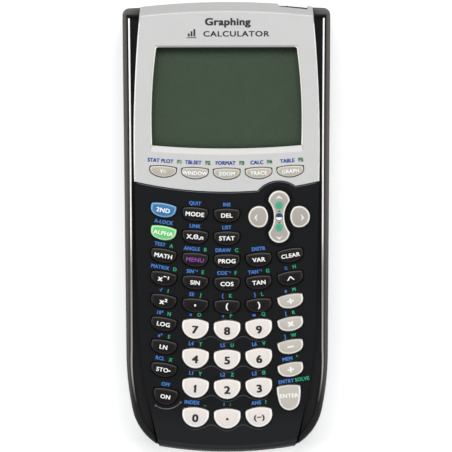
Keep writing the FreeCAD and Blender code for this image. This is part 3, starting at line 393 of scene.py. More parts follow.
def bowed(start, middle, end, count=ARC_STEPS):
    """Points on the arc through three points, without the last."""
    ax, ay = start
    bx, by = middle
    cx, cy = end
    d = 2 * (ax * (by - cy) + bx * (cy - ay) + cx * (ay - by))
    aa, bb, cc = ax * ax + ay * ay, bx * bx + by * by, cx * cx + cy * cy
    ux = (aa * (by - cy) + bb * (cy - ay) + cc * (ay - by)) / d
    uy = (aa * (cx - bx) + bb * (ax - cx) + cc * (bx - ax)) / d
    first = math.atan2(ay - uy, ax - ux)
    last = math.atan2(cy - uy, cx - ux)
    turn = (bx - ax) * (cy - by) - (by - ay) * (cx - bx)
    if turn > 0 and last < first:
        last += 2 * math.pi
    if turn < 0 and last > first:
        last -= 2 * math.pi
    return arc((ux, uy), math.hypot(ax - ux, ay - uy), first, last, count)


def between(start, end, share):
    """The point a share of the way along a straight line."""
    return (start[0] + (end[0] - start[0]) * share, start[1] + (end[1] - start[1]) * share)


def walked(points, index, step, distance):
    """The point at a distance along a closed line from one of its corners, and the next index."""
    left = distance
    here = points[index]
    while True:
        index = (index + step) % len(points)
        there = points[index]
        length = math.dist(here, there)
        if length >= left:
            return between(here, there, left / length), index
        left -= length
        here = there


def rounded(points, corners, radius, count=7):
    """A closed anticlockwise line with some corners rounded off."""
    result = []
    starts = {}
    for corner in corners:
        here = points[corner]
        before, after = points[corner - 1], points[(corner + 1) % len(points)]
        turn = (math.atan2(after[1] - here[1], after[0] - here[0])
                - math.atan2(here[1] - before[1], here[0] - before[0])) % (2 * math.pi)
        reach = radius * math.tan(turn / 2)
        entry, back = walked(points, corner, -1, reach)
        leave, onward = walked(points, corner, 1, reach)
        weight = math.cos(turn / 2)
        curve = []
        for i in range(count + 1):
            t = i / count
            a, b, c = (1 - t) ** 2, 2 * t * (1 - t) * weight, t * t
            whole = a + b + c
            curve.append(((a * entry[0] + b * here[0] + c * leave[0]) / whole,
                          (a * entry[1] + b * here[1] + c * leave[1]) / whole))
        starts[(back + 1) % len(points)] = (curve, onward)
    index = next(iter(starts.values()))[1] if starts else 0
    first = index
    while True:
        if index in starts:
            curve, index = starts[index]
            result.extend(curve)
        else:
            result.append(points[index])
            index = (index + 1) % len(points)
        if index == first:
            return result


def even(points, count):
    """A closed line cut into equal steps."""
    lengths = [math.dist(points[i - 1], points[i]) for i in range(len(points))]
    total = sum(lengths)
    step = total / count
    result = []
    travelled = 0.0
    target = 0.0
    for i in range(len(points)):
        start, end = points[i - 1], points[i]
        while target <= travelled + lengths[i] + 1e-12 and len(result) < count:
            share = (target - travelled) / lengths[i] if lengths[i] else 0.0
            result.append(between(start, end, share))
            target += step
        travelled += lengths[i]
    return result


def key_outline(half, height, sag, shoulder, side, corner):
    """Crowned top edge, short shoulders and a round foot of three arcs, in millimetres."""
    top = height / 2
    crown = (half * half + sag * sag) / (2 * sag)
    corner_y = top - sag
    spring = corner_y - shoulder
    depth = spring + top
    rise = ((half - side) ** 2 - (depth - side) ** 2) / (2 * (depth - side))
    foot = depth + rise
    foot_y = foot - top
    span = math.hypot(half - side, spring - foot_y) * (1 if side < foot else -1)
    meet_x = foot * (half - side) / span
    meet_y = foot_y + foot * (spring - foot_y) / span
    lean = math.asin(half / crown)
    side_end = math.atan2(meet_y - spring, meet_x - (half - side))
    foot_angle = math.atan2(meet_y - foot_y, meet_x)
    points = arc((0, top - crown), crown, math.pi / 2 - lean, math.pi / 2 + lean)
    left_corner = len(points)
    points.append((-half, corner_y))
    points += arc((side - half, spring), side, math.pi, math.pi - side_end)
    points += arc((0, foot_y), foot, math.pi - foot_angle - 2 * math.pi, foot_angle)
    points += arc((half - side, spring), side, side_end, 0.0)
    points.append((half, spring))
    return rounded(points, (0, left_corner), corner)


def rocker_outline(half_length=11.1, lobe=4.5, waist=2.15, corner=0.75):
    lobe_y = half_length - lobe
    points = arc((0, lobe_y), lobe, 0.0, math.pi)
    points += bowed((-lobe, lobe_y), (-waist, 0), (-lobe, -lobe_y))
    points += arc((0, -lobe_y), lobe, math.pi, 2 * math.pi)
    points += bowed((lobe, -lobe_y), (waist, 0), (lobe, lobe_y))
    return rounded(points, [turn * ARC_STEPS for turn in range(4)], corner)


def side_key_outline(side, tip=6.3, half=3.95, reach=6.75, belly=1.6, corner=0.75):
    points = bowed((tip, -half), (tip + reach, 0), (tip, half))
    points += bowed((tip, half), (tip - belly, 0), (tip, -half))
    points = rounded(points, (0, ARC_STEPS), corner)
    if side < 0:
        points = [(-x, y) for x, y in reversed(points)]
    return points


# ---------------------------------------------------------------- meshes

def piece(name, vertices, faces, material, body, sharp=35):
    """A smooth shaded mesh that rides on a body."""
    mesh = bpy.data.meshes.new(name)
    mesh.from_pydata(vertices, [], faces)
    mesh.validate()
    mesh.shade_smooth()
    mesh.set_sharp_from_angle(angle=math.radians(sharp))
    obj = placed(name, mesh)
    give(obj, material)
    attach(obj, body)
    return obj


def outward(loop):
    """Unit normals of a closed anticlockwise line."""
    normals = []
    for i in range(len(loop)):
        before, after = loop[i - 1], loop[(i + 1) % len(loop)]
        x, y = after[1] - before[1], before[0] - after[0]
        length = math.hypot(x, y)
        normals.append((x / length, y / length))
    return normals


def place_point(place, x, y, z):
    """A point given in millimetres in a key's own frame, in the frame of the object."""
    px, py, angle = place
    c, s = math.cos(angle), math.sin(angle)
    return ((px + x * c - y * s) * MM, (py + x * s + y * c) * MM, z)


def spine_of(loop):
    """How far the line down the middle of a shape reaches from its centre, along X and along Y."""
    width = max(p[0] for p in loop) - min(p[0] for p in loop)
    height = max(p[1] for p in loop) - min(p[1] for p in loop)
    reach = (width - height) / 2 * SPINE_SHARE
    return max(0.0, reach), max(0.0, -reach)


def all_round(lean):
    """A rim that is lit on every side."""
    return 1.0


def top_edge(lean):
    """A rim that is lit along the upper edge; lean is the outward direction along Y."""
    return 0.15 + 0.85 * max(0.0, lean) ** 2


def foot_edge(lean):
    """A rim that is lit along the sides and the foot."""
    return 1.0 - 0.8 * max(0.0, lean) ** 2


def rim_flange(x, y):
    """The flange that keeps a key in: an even rim all round."""
    return FLANGE_RIM


def pivot_lugs(x, y):
    """The rocker has no flange, only a pair of lugs at its waist."""
    return LUG_OUT if abs(y) < LUG_HALF else 0.0


SPINE_SHARE = 0.8
FLANGE_RIM, FLANGE_THICK = 0.45, 0.7
LUG_OUT, LUG_HALF = 1.2, 1.5
RIM_HIGHLIGHT_START, CROWN_INSET = 0.25, 0.83
RIM_TURN = math.radians(80)
RIM_STEPS = 5


def cap(node, loop, place, top, crown, material, centre=(0, 0), rim=0.5, count=96, rings=9,
        lit=all_round, shaped=False, flange=rim_flange):
    """A moulded key that stands for its CAD node: flange, wall, rounded rim and a crowned top.

    The crown of a shaped key follows a line down its middle; other keys have an oval crown.
    flange gives how far the flange stands out at a place on the outline.
    """
    loop = even(loop, count)
    normals = outward(loop)
    reach_x, reach_y = spine_of(loop)
    bottom = KEY_BOTTOM / MM
    crest = top / MM
    edge_z = crest - crown
    # Each row: how far out, its height and how strongly the painted edge highlight shows.
    # None leaves how far out to the flange.
    profile = [(None, bottom, 0), (None, bottom + FLANGE_THICK, 0), (0.0, bottom + FLANGE_THICK, 0),
               (0.0, edge_z - rim - RIM_HIGHLIGHT_START, 0), (0.0, edge_z - rim, 0.2)]
    for i in range(1, RIM_STEPS + 1):
        angle = RIM_TURN * i / RIM_STEPS
        profile.append((-rim * (1 - math.cos(angle)), edge_z - rim + rim * math.sin(angle), 1.0))
    vertices, faces, edges = [], [], []
    for offset, z, mark in profile:
        for (x, y), (nx, ny) in zip(loop, normals):
            out = flange(x, y) if offset is None else offset
            vertices.append(place_point(place, x + nx * out, y + ny * out, z * MM))
            # The edge attribute says where the painted rim highlight shows, and how strongly.
            edges.append(mark * lit(ny))
    inset = rim * CROWN_INSET
    inner = [(x - nx * inset, y - ny * inset) for (x, y), (nx, ny) in zip(loop, normals)]
    z_inner = edge_z - rim + rim * math.sin(RIM_TURN)
    wide, tall = (max(abs(p[axis] - centre[axis]) for p in inner) for axis in (0, 1))
    for i in range(1, rings + 1):
        s = 1 - i / rings
        for x, y in inner:
            if shaped:
                mx = centre[0] + min(reach_x, max(-reach_x, x - centre[0]))
                my = centre[1] + min(reach_y, max(-reach_y, y - centre[1]))
            else:
                mx, my = centre
                turn = math.atan2(y - my, x - mx)
                oval = wide * tall / math.hypot(tall * math.cos(turn), wide * math.sin(turn))
                x += (1 - s) * (mx + oval * math.cos(turn) - x)
                y += (1 - s) * (my + oval * math.sin(turn) - y)
            z = z_inner + (crest - z_inner) * (1 - s * s)
            vertices.append(place_point(place, mx + (x - mx) * s, my + (y - my) * s, z * MM))
            edges.append(0.0)
    rows = len(profile) + rings
    for row in range(rows - 1):
        for i in range(count):
            j = (i + 1) % count
            outer, inward = row * count, (row + 1) * count
            faces.append((outer + i, outer + j, inward + j, inward + i))
    faces.append(tuple(range(count - 1, -1, -1)))
    obj = piece("cap_" + node, vertices, faces, material, node)
    attribute = obj.data.attributes.new("edge", "FLOAT", "POINT")
    attribute.data.foreach_set("value", edges)
    mesh_tidy(obj)
    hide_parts(node)
    return obj


def mesh_tidy(obj):
    """Merge the points that fall together on the spine."""
    mesh = bmesh.new()
    mesh.from_mesh(obj.data)
    bmesh.ops.remove_doubles(mesh, verts=mesh.verts, dist=1e-7)
    bmesh.ops.dissolve_degenerate(mesh, edges=mesh.edges, dist=1e-7)
    mesh.to_mesh(obj.data)
    mesh.free()


# ---------------------------------------------------------------- keys

# Rows of keys lie on wide arcs: the angle between columns, the radius and where a row is.
COLUMN_ANGLE, ROW_RADIUS = math.radians(4.975), 156.2
SOFT_ANGLE, SOFT_RADIUS, SOFT_ROW = math.radians(2.155), 360.0, 22.6
# In millimetres: half width, height, sag of the top edge, shoulder, side radius and corner radius.
SHAPES = {
    "small": (5.4, 5.9, 0.65, 1.6, 3.2, 0.6),
    "number": (5.6, 8.3, 1.1, 2.1, 3.6, 1.15),
    "soft": (5.55, 4.6, 0.5, 1.1, 2.0, 0.9),
    "enter": (5.0, 10.7, 0.5, 1.5, 20.0, 0.75),
    "power": (5.2, 6.9, 0.6, 1.4, 3.6, 0.9),
}


def row_place(column, base_y, step=COLUMN_ANGLE, radius=ROW_RADIUS, shift=0.0):
    """Where a key of a curved row stands, and its tilt."""
    angle = step * column
    return (radius * math.sin(angle) + shift, base_y + radius * (1 - math.cos(angle)), angle)


FIRST_ROW, ROW_PITCH = 4.85, 9.68
NUMBER_ROW, NUMBER_PITCH = -43.8, 12.5
FOOT_ROW, FOOT_SHIFT = -74.3, 0.7
ENTER_DROP, ENTER_LEAN = 0.5, math.radians(6.5)
# Each key: column, row, its legend, the legend's height, and the blue and green legends above it.
SMALL_KEYS = {
    "second": (-2, 0, "2ND", 1.75, "", ""), "mode": (-1, 0, "MODE", 1.7, "QUIT", ""),
    "delete": (0, 0, "DEL", 1.7, "INS", ""),
    "alpha": (-2, 1, "ALPHA", 1.6, "A-LOCK", ""),
    "variable": (-1, 1, "X,\u0398,n", 1.75, "LINK", ""),
    "stat": (0, 1, "STAT", 1.7, "LIST", ""),
    "math": (-2, 2, "MATH", 1.7, "TEST", "A"), "apps": (-1, 2, "MENU", 1.7, "ANGLE", "B"),
    "program": (0, 2, "PROG", 1.7, "DRAW", "C"), "vars": (1, 2, "VAR", 1.7, "DISTR", ""),
    "clear": (2, 2, "CLEAR", 1.6, "", ""),
    "inverse": (-2, 3, "x\u207b\u00b9", 2.3, "MATRIX", "D"),
    "sin": (-1, 3, "SIN", 1.7, "SIN\u207b\u00b9", "E"),
    "cos": (0, 3, "COS", 1.7, "COS\u207b\u00b9", "F"),
    "tan": (1, 3, "TAN", 1.7, "TAN\u207b\u00b9", "G"),
    "power": (2, 3, "\u2227", 2.3, "\u03c0", "H"),
    "square": (-2, 4, "x\u00b2", 2.3, "\u221a", "I"), "comma": (-1, 4, ",", 2.6, "EE", "J"),
    "left_bracket": (0, 4, "(", 2.2, "{", "K"), "right_bracket": (1, 4, ")", 2.2, "}", "L"),
    "divide": (2, 4, "\u00f7", 3.3, "e", "M"),
    "log": (-2, 5, "LOG", 1.7, "10\u02e3", "N"), "multiply": (2, 5, "\u00d7", 3.2, "[", "R"),
    "ln": (-2, 6, "LN", 1.7, "e\u02e3", "S"), "minus": (2, 6, "\u2212", 3.3, "]", "W"),
    "store": (-2, 7, "STO\u25b8", 1.65, "RCL", "X"), "plus": (2, 7, "+", 3.2, "MEM", "\""),
}
NUMBER_KEYS = {
    "7": (-1, 0, "7", 3.05, "u", "O"), "8": (0, 0, "8", 3.05, "v", "P"),
    "9": (1, 0, "9", 3.05, "w", "Q"),
    "4": (-1, 1, "4", 3.05, "L4", "T"), "5": (0, 1, "5", 3.05, "L5", "U"),
    "6": (1, 1, "6", 3.05, "L6", "V"),
    "1": (-1, 2, "1", 3.05, "L1", "Y"), "2": (0, 2, "2", 3.05, "L2", "Z"),
    "3": (1, 2, "3", 3.05, "L3", "\u0398"),
    "0": (-1, 3, "0", 3.05, "INDEX", "_"), "point": (0, 3, ".", 5.0, "i", ":"),
    "negative": (1, 3, "(\u2212)", 1.95, "ANS", "?"),
}
SOFT_KEYS = {
    "soft_key_1": (-2, "Y=", "STAT PLOT", "F1"), "soft_key_2": (-1, "WINDOW", "TBLSET", "F2"),
    "soft_key_3": (0, "ZOOM", "FORMAT", "F3"), "soft_key_4": (1, "TRACE", "CALC", "F4"),
    "soft_key_5": (2, "GRAPH", "TABLE", "F5"),
}
KEYS = []
for name, (column, row, *legend) in SMALL_KEYS.items():
    KEYS.append(("key_" + name, "small", row_place(column, FIRST_ROW - ROW_PITCH * row), *legend))
for name, (column, row, *legend) in NUMBER_KEYS.items():
    KEYS.append(("key_" + name, "number", row_place(column, NUMBER_ROW - NUMBER_PITCH * row), *legend))
KEYS.append(("key_on", "power", row_place(-2, FOOT_ROW, shift=FOOT_SHIFT), "ON", 1.65, "OFF", ""))
enter_x, enter_y, enter_angle = row_place(2, FOOT_ROW - ENTER_DROP, shift=-FOOT_SHIFT)
KEYS.append(("key_enter", "enter", (enter_x, enter_y, enter_angle - ENTER_LEAN), "ENTER", 1.6, "", ""))
for name, (column, label, blue, green) in SOFT_KEYS.items():
    place = row_place(column, SOFT_ROW, SOFT_ANGLE, SOFT_RADIUS)
    KEYS.append((name, "soft", place, label, 1.5, blue, green))

# Caps stop a little under the CAD keys' top, which leaves room for the ink.
INK_ROOM = 0.05 * MM
CROWN, SOFT_CROWN = 0.4, 0.3
SIDE_KEY_MIDDLE = 8.7
LIT_RIMS = {"black_key": top_edge, "white_key": foot_edge, "grey_key": foot_edge}
caps = {}
for node, shape, place, *_ in KEYS:
    top, crown = (SOFT_KEY_TOP, SOFT_CROWN) if shape == "soft" else (KEY_TOP, CROWN)
    caps[node] = cap(node, key_outline(*SHAPES[shape]), place, top - INK_ROOM, crown,
                     FINISHES[SLOTS[node]], lit=LIT_RIMS.get(SLOTS[node], all_round))
PAD_PLACE = (PAD_X / MM, PAD_Y / MM, 0.0)
PAD_TOP = KEY_TOP - INK_ROOM
caps["key_up_down"] = cap("key_up_down", rocker_outline(), PAD_PLACE, PAD_TOP, CROWN, patched,
                          count=144, shaped=True, flange=pivot_lugs)
SIDES = {"left": -1, "right": 1}
for name, side in SIDES.items():
    node = "key_" + name
    caps[node] = cap(node, side_key_outline(side), PAD_PLACE, PAD_TOP, CROWN, pad_grey,
                     centre=(side * SIDE_KEY_MIDDLE, 0), shaped=True)


# ---------------------------------------------------------------- legends

def ink(name, colour, roughness=0.45):
    return moulded(name, colour, roughness, variation=0.03, mottle=0.0008, grain=0.0002, depth=0.000001)


WHITE_INK = ink("white_ink", srgb(236, 236, 234))
PALE_INK = ink("pale_ink", srgb(224, 222, 218))
DARK_INK = ink("dark_ink", srgb(30, 30, 32))
PURPLE_INK = ink("purple_ink", srgb(128, 62, 148))
BLUE_INK = ink("blue_ink", srgb(62, 120, 196))
GREEN_INK = ink("green_ink", srgb(22, 160, 118))
BLUE_ON_SILVER = ink("blue_on_silver", srgb(20, 58, 140))
GREEN_ON_SILVER = ink("green_on_silver", srgb(0, 98, 58))
TITLE_INK = ink("title_ink", srgb(40, 42, 48))
NAVY_INK = ink("navy_ink", srgb(28, 52, 92))
TEAL_INK = ink("teal_ink", srgb(0, 64, 90))
INK_DEPTH = 0.02 * MM
INK_FOOT = 0.1
# Letters are struck four times: across and up as shares of the boldness, and the ink's height.
STRIKES = ((-1, -0.6, 1.0), (1, -0.6, 1.15), (-1, 0.6, 1.3), (1, 0.6, 1.45))
CAPITAL = 0.682
strings = {}


def diced(mesh, step=0.45):
    """The vertices and faces of a mesh cut along a grid, so that it can follow a curved surface."""
    work = bmesh.new()
    work.from_mesh(mesh)
    bmesh.ops.remove_doubles(work, verts=work.verts, dist=1e-5)
    for axis in (0, 1):
        low = min(v.co[axis] for v in work.verts)
        high = max(v.co[axis] for v in work.verts)
        normal = Vector((1 - axis, axis, 0))
        for i in range(1, math.ceil((high - low) / step)):
            bmesh.ops.bisect_plane(work, geom=work.verts[:] + work.edges[:] + work.faces[:],
                                   plane_co=normal * (low + i * step), plane_no=normal)
    work.verts.index_update()
    vertices = [tuple(v.co) for v in work.verts]
    faces = [tuple(v.index for v in face.verts) for face in work.faces]
    work.free()
    return vertices, faces


def string_mesh(text, height, bold, stretch=1.0, spacing=1.06):
    """Vertices and faces of a line of text in millimetres, centred across, standing on Y = 0."""
    key = (text, height, bold, stretch, spacing)
    if key in strings:
        return strings[key]
    thick = bold * height / CAPITAL
    curve = bpy.data.curves.new("string", "FONT")
    curve.body = text
    curve.size = height / CAPITAL
    curve.space_character = spacing
    curve.extrude = 0.5
    curve.resolution_u = 3
    holder = placed("string", curve)
    graph = bpy.context.evaluated_depsgraph_get()
    mesh = bpy.data.meshes.new_from_object(holder.evaluated_get(graph))
    vertices, faces = diced(mesh)
    bpy.data.objects.remove(holder)
    bpy.data.meshes.remove(mesh)
    low = min(v[0] for v in vertices)
    high = max(v[0] for v in vertices)
    middle = (low + high) / 2
    struck, struck_faces = [], []
    for across, up, lift in STRIKES:
        first = len(struck)
        struck += [((x - middle) * stretch + across * thick, y + up * thick,
                    lift if z > 0 else INK_FOOT) for x, y, z in vertices]
        struck_faces += [tuple(first + i for i in face) for face in faces]
    strings[key] = (struck, struck_faces, (high - low) * stretch + 2 * thick)
    return strings[key]


def surface_of(obj):
    """A function that gives the height of a piece's upper surface, looking down on it."""
    tree = BVHTree.FromObject(obj, bpy.context.evaluated_depsgraph_get())

    def height(x, y):
        hit = tree.ray_cast(Vector((x, y, 1.0)), Vector((0, 0, -1)))[0]
        return hit.z if hit else KEY_BOTTOM
    return height


def level(z):
    return lambda x, y: z


def printed(name, items, material, body, surface):
    """Print shapes on a surface as thin ink. Each item is (vertices, faces, place, x, y).

    The third number of a vertex is its height above the surface, as a share of the ink's depth.
    """
    vertices, faces = [], []
    for shape_vertices, shape_faces, place, shift_x, shift_y in items:
        first = len(vertices)
        for x, y, lift in shape_vertices:
            px, py, _ = place_point(place, x + shift_x, y + shift_y, 0)
            vertices.append((px, py, surface(px, py) + lift * INK_DEPTH))
        faces.extend(tuple(first + i for i in face) for face in shape_faces)
    return piece(name, vertices, faces, material, body)


def slab(points):
    """A flat shape from its outline, as vertices with a lower and an upper side, and faces."""
    count = len(points)
    vertices = [(x, y, -0.5) for x, y in points] + [(x, y, 0.5) for x, y in points]
    faces = [tuple(range(count - 1, -1, -1)), tuple(range(count, 2 * count))]
    faces += [(i, (i + 1) % count, count + (i + 1) % count, count + i) for i in range(count)]
    mesh = bpy.data.meshes.new("slab")
    mesh.from_pydata(vertices, [], faces)
    vertices, faces = diced(mesh)
    bpy.data.meshes.remove(mesh)
    return [(x, y, 1.0 if z > 0 else INK_FOOT) for x, y, z in vertices], faces


def disc(radius, count):
    return slab(arc((0, 0), radius, 0, 2 * math.pi, count))


LEGEND_GAP, SHORT_LEGEND_GAP = 1.75, 2.3
LEGEND_HEIGHT = 1.5
LEGEND_BOLD = 0.035
SILVER_BOLD, SILVER_GREEN_BOLD = 0.055, 0.1
LEGEND_STRETCH = 0.94
SILVER_LEGEND_GAP, SILVER_LEGEND_SHIFT, SILVER_LEGEND_SPREAD = 1.5, 1.4, 0.2
# The two words above the ENTER key.
WORD_PLACE, WORD_GAP = (21.9, -66.8, math.radians(8.5)), 0.4
LEAN_SHARE = 0.9
LIFT = {"small": 0.95, "number": 1.2, "soft": 1.5, "power": 0.95}
PLAIN_STRETCH, LABEL_STRETCH = 1.1, {"soft": 1.0, "number": 1.15}
LABEL_BOLD = {"soft": 0.03, "number": 0.05}
LABEL_SHIFT = {"number": -0.35, "enter": 0.85}
NEGATIVE_STRETCH = 1.3
POINT_RADIUS, POINT_SHIFT = 0.55, -0.2
CARET = [(1.65, -0.8), (0.3, 0.85), (-0.3, 0.85), (-1.65, -0.8), (-1.0, -0.8), (0.0, 0.4), (1.0, -0.8)]
# The flag of the digit 1: across in millimetres, up as a share of its height.
FLAG = [(0.1, 1.0), (-0.9, 0.74), (-0.7, 0.64), (0.1, 0.78)]
blue_items, green_items, soft_blue, soft_green = [], [], [], []
for node, shape, place, label, height, blue, green in KEYS:
    slot_name = SLOTS[node]
    colour = DARK_INK if slot_name == "white_key" else PURPLE_INK if label == "MENU" else WHITE_INK
    bold = LABEL_BOLD.get(shape, LEGEND_BOLD)
    stretch = NEGATIVE_STRETCH if label == "(\u2212)" else LABEL_STRETCH.get(shape, PLAIN_STRETCH)
    vertices, faces = string_mesh(label, height, bold, stretch)[:2]
    middle = (min(v[1] for v in vertices) + max(v[1] for v in vertices)) / 2
    shift = LABEL_SHIFT.get(shape, 0.0)
    if label == ".":
        vertices, faces = disc(POINT_RADIUS, 24)
        middle, shift = 0.0, POINT_SHIFT
    if label == "\u2227":
        vertices, faces = slab(CARET)
        middle = 0.0
    if label == "1":
        flag_vertices, flag_faces = slab([(x, up * height) for x, up in FLAG])
        faces = faces + [tuple(len(vertices) + i for i in face) for face in flag_faces]
        vertices = vertices + flag_vertices
    printed("legend_" + node, [(vertices, faces, place, 0.0, shift - middle)], colour, node,
            surface_of(caps[node]))
    total = 0.0
    shapes = []
    for text in (blue, green):
        if text:
            bold = LEGEND_BOLD
            if shape == "soft":
                bold = SILVER_BOLD if text == blue else SILVER_GREEN_BOLD
            shapes.append(string_mesh(text, LEGEND_HEIGHT, bold, LEGEND_STRETCH))
            total += shapes[-1][2]
        else:
            shapes.append(None)
    on_silver = shape == "soft"
    gap = LEGEND_GAP if len(blue) > 2 else SHORT_LEGEND_GAP
    if on_silver:
        gap = SILVER_LEGEND_GAP
    if blue and green:
        total += gap
    base = SHAPES[shape][1] / 2 + LIFT.get(shape, 0.0)
    left = -total / 2 + base * math.sin(place[2]) * LEAN_SHARE
    if on_silver:
        left += SILVER_LEGEND_SHIFT - SILVER_LEGEND_SPREAD * (place[2] / SOFT_ANGLE) ** 2
    targets = (soft_blue, soft_green) if on_silver else (blue_items, green_items)
    for item, target in zip(shapes, targets):
        if item:
            target.append((item[0], item[1], place, left + item[2] / 2, base))
            left += item[2] + gap
left = 0.0
for text, target in (("ENTRY", blue_items), ("SOLVE", green_items)):
    vertices, faces, width = string_mesh(text, LEGEND_HEIGHT, LEGEND_BOLD, LEGEND_STRETCH)
    target.append((vertices, faces, WORD_PLACE, left + width / 2, 0.0))
    left += width + WORD_GAP
printed("deck_print_blue", blue_items, BLUE_INK, "case", level(DECK_TOP))
printed("deck_print_green", green_items, GREEN_INK, "case", level(DECK_TOP))
printed("display_print_blue", soft_blue, BLUE_ON_SILVER, "case", level(BEZEL_TOP))
printed("display_print_green", soft_green, GREEN_ON_SILVER, "case", level(BEZEL_TOP))
titles = [(*string_mesh("Graphing", 2.9, 0.05, 1.16)[:2], (0, 0, 0), 0.6, 85.7),
          (*string_mesh("CALCULATOR", 2.2, 0.035, 1.24, 1.12)[:2], (0, 0, 0), 4.2, 80.9)]
# The bar chart mark: the left and low corner of each bar, its width and its height.
BARS = [(-16.4, 80.9, 0.8, 1.3), (-15.2, 80.9, 0.8, 2.2), (-14.0, 80.9, 0.8, 3.1),
        (-16.9, 80.2, 4.2, 0.35)]
for left, low, wide, tall in BARS:
    bar = [(left, low), (left + wide, low), (left + wide, low + tall), (left, low + tall)]
    titles.append((*slab(bar), (0, 0, 0), 0.0, 0.0))
printed("display_title", titles, TITLE_INK, "case", level(BEZEL_TOP))

# Marks on the direction pad.
rocker_surface = surface_of(caps["key_up_down"])


def chevron(direction, width=3.3, depth=1.5, notch=0.5):
    """A wedge that points up, left, down or right, in millimetres."""
    half = depth / 2
    points = [(width / 2, -half), (0, half), (-width / 2, -half), (0, -half + notch)]
    c, s = ((1, 0), (0, 1), (-1, 0), (0, -1))[direction]
    return slab([(x * c - y * s, x * s + y * c) for x, y in points])


ARROWS = {
    "up": ("key_up_down", 0, 0.0, 8.2),
    "down": ("key_up_down", 2, 0.0, -9.0),
    "left": ("key_left", 1, -9.9, -0.4),
    "right": ("key_right", 3, 9.9, -0.4),
}
for name, (node, direction, x, y) in ARROWS.items():
    printed("arrow_" + name, [(*chevron(direction), PAD_PLACE, x, y)], PALE_INK, node,
            surface_of(caps[node]))
dial = (0.0, -0.1)
printed("contrast_disc", [(*disc(1.65, 32), PAD_PLACE, *dial)], NAVY_INK, "key_up_down",
        rocker_surface)
upper = arc((0, 0.0), 1.4, 0.06, math.pi - 0.06, 20) + [(-1.4, 0.06)]
lower = arc((0, 0.0), 1.4, math.pi + 0.1, 2 * math.pi - 0.1, 20) + [(1.39, -0.14)]


def over_ink(x, y):
    """The rocker's surface with one layer of ink on it."""
    return rocker_surface(x, y) + INK_DEPTH


printed("contrast_dark", [(*slab(upper), PAD_PLACE, *dial)], TEAL_INK, "key_up_down", over_ink)
printed("contrast_light", [(*slab(lower), PAD_PLACE, *dial)], WHITE_INK, "key_up_down", over_ink)
small_marks = [(*chevron(direction, 1.9, 0.85, 0.35), PAD_PLACE, 0.0, y)
               for direction, y in ((0, 2.25), (2, -2.45))]
printed("contrast_marks", small_marks, NAVY_INK, "key_up_down", rocker_surface)


# ---------------------------------------------------------------- ridges on the case

def ribbon(name, path, width, height, surface, material, taper=0.12, square=1.0):
    """A low ridge along an open path of points in millimetres, laid on a surface.

    Its section is round where square is 1 and turns into a flat-topped block towards 0.
    """
    section = []
    for i in range(7):
        across, up = math.cos(math.pi * i / 6), math.sin(math.pi * i / 6)
        section.append((math.copysign(abs(across) ** square, across), abs(up) ** square))
    vertices, faces = [], []
    count = len(path)
    for i, (x, y) in enumerate(path):
        before, after = path[max(i - 1, 0)], path[min(i + 1, count - 1)]
        dx, dy = after[0] - before[0], after[1] - before[1]
        length = math.hypot(dx, dy)
        nx, ny = dy / length, -dx / length
        end = min(1.0, min(i, count - 1 - i) / (count * taper) + 0.05) if taper else 1.0
        base = surface(x * MM, y * MM)
        for across, up in section:
            out = across * width / 2 * end
            vertices.append(((x + nx * out) * MM, (y + ny * out) * MM, base + height * up * end * MM))
    ring = len(section)
    for i in range(count - 1):
        for j in range(ring - 1):
            a = i * ring + j
            faces.append((a, a + 1, a + ring + 1, a + ring))
        faces.append((i * ring, (i + 1) * ring, (i + 1) * ring + ring - 1, i * ring + ring - 1))
    faces.append(tuple(range(ring)))
    faces.append(tuple(range((count - 1) * ring + ring - 1, (count - 1) * ring - 1, -1)))
    return piece(name, vertices, faces, material, "case", sharp=60)


# Lighter grey: a painted highlight on the low ridges under the number keys.
RIDGE = moulded("deck_ridge", srgb(58, 60, 62), 0.35, variation=0.08, mottle=0.002)
# Paler grey: a painted highlight on the crescent under ON and on its end dots.
PALE_RIDGE = moulded("pale_ridge", srgb(104, 104, 106), 0.35, variation=0.25, mottle=0.002)
# Grey: a painted highlight along the deck's edge at the joint.
JOINT_HIGHLIGHT = moulded("joint_highlight", srgb(92, 94, 97), 0.35, variation=0.15, mottle=0.004)
# A painted highlight along the edge of the sloped top end.
SLOPE_HIGHLIGHT = moulded("slope_highlight", srgb(214, 214, 211), 0.35, variation=0.02)
# The beads' pale colour is a painted highlight along the inner edges of the rails.
BEAD_HIGHLIGHT = moulded("bead", srgb(252, 250, 247), 0.3, variation=0.03, paint=bead_shading)


# The waves under the number keys, in millimetres.
WAVE_END = 4.6
WAVE_DIP_RADIUS, WAVE_DIP_LIFT = 5.55, 0.25
WAVE_CREST_DROP, WAVE_CREST_BEND = 2.9, 0.121
WAVE_CREST_REACH, WAVE_CREST_JOIN = 4.2, 3.4


def wave(row, count=120):
    """A line that dips under each number key of a row and rises between the keys."""
    base_y = NUMBER_ROW - NUMBER_PITCH * row
    keys = [row_place(column, base_y) for column in (-1, 0, 1)]
    gaps = [row_place(column, base_y) for column in (-0.5, 0.5)]
    first = keys[0][0] - WAVE_END
    last = keys[-1][0] + WAVE_END
    points = []
    for i in range(count + 1):
        x = first + (last - first) * i / count
        y = None
        for key_x, key_y, _ in keys:
            if abs(x - key_x) < WAVE_DIP_RADIUS:
                dip = key_y + WAVE_DIP_LIFT - math.sqrt(WAVE_DIP_RADIUS ** 2 - (x - key_x) ** 2)
                y = dip if y is None else max(y, dip)
        for gap_x, gap_y, _ in gaps:
            crest = gap_y - WAVE_CREST_DROP - WAVE_CREST_BEND * (x - gap_x) ** 2
            if y is None and abs(x - gap_x) < WAVE_CREST_REACH:
                y = crest
            elif abs(x - gap_x) < WAVE_CREST_JOIN:
                y = min(y, crest)
        points.append((x, y))
    return points


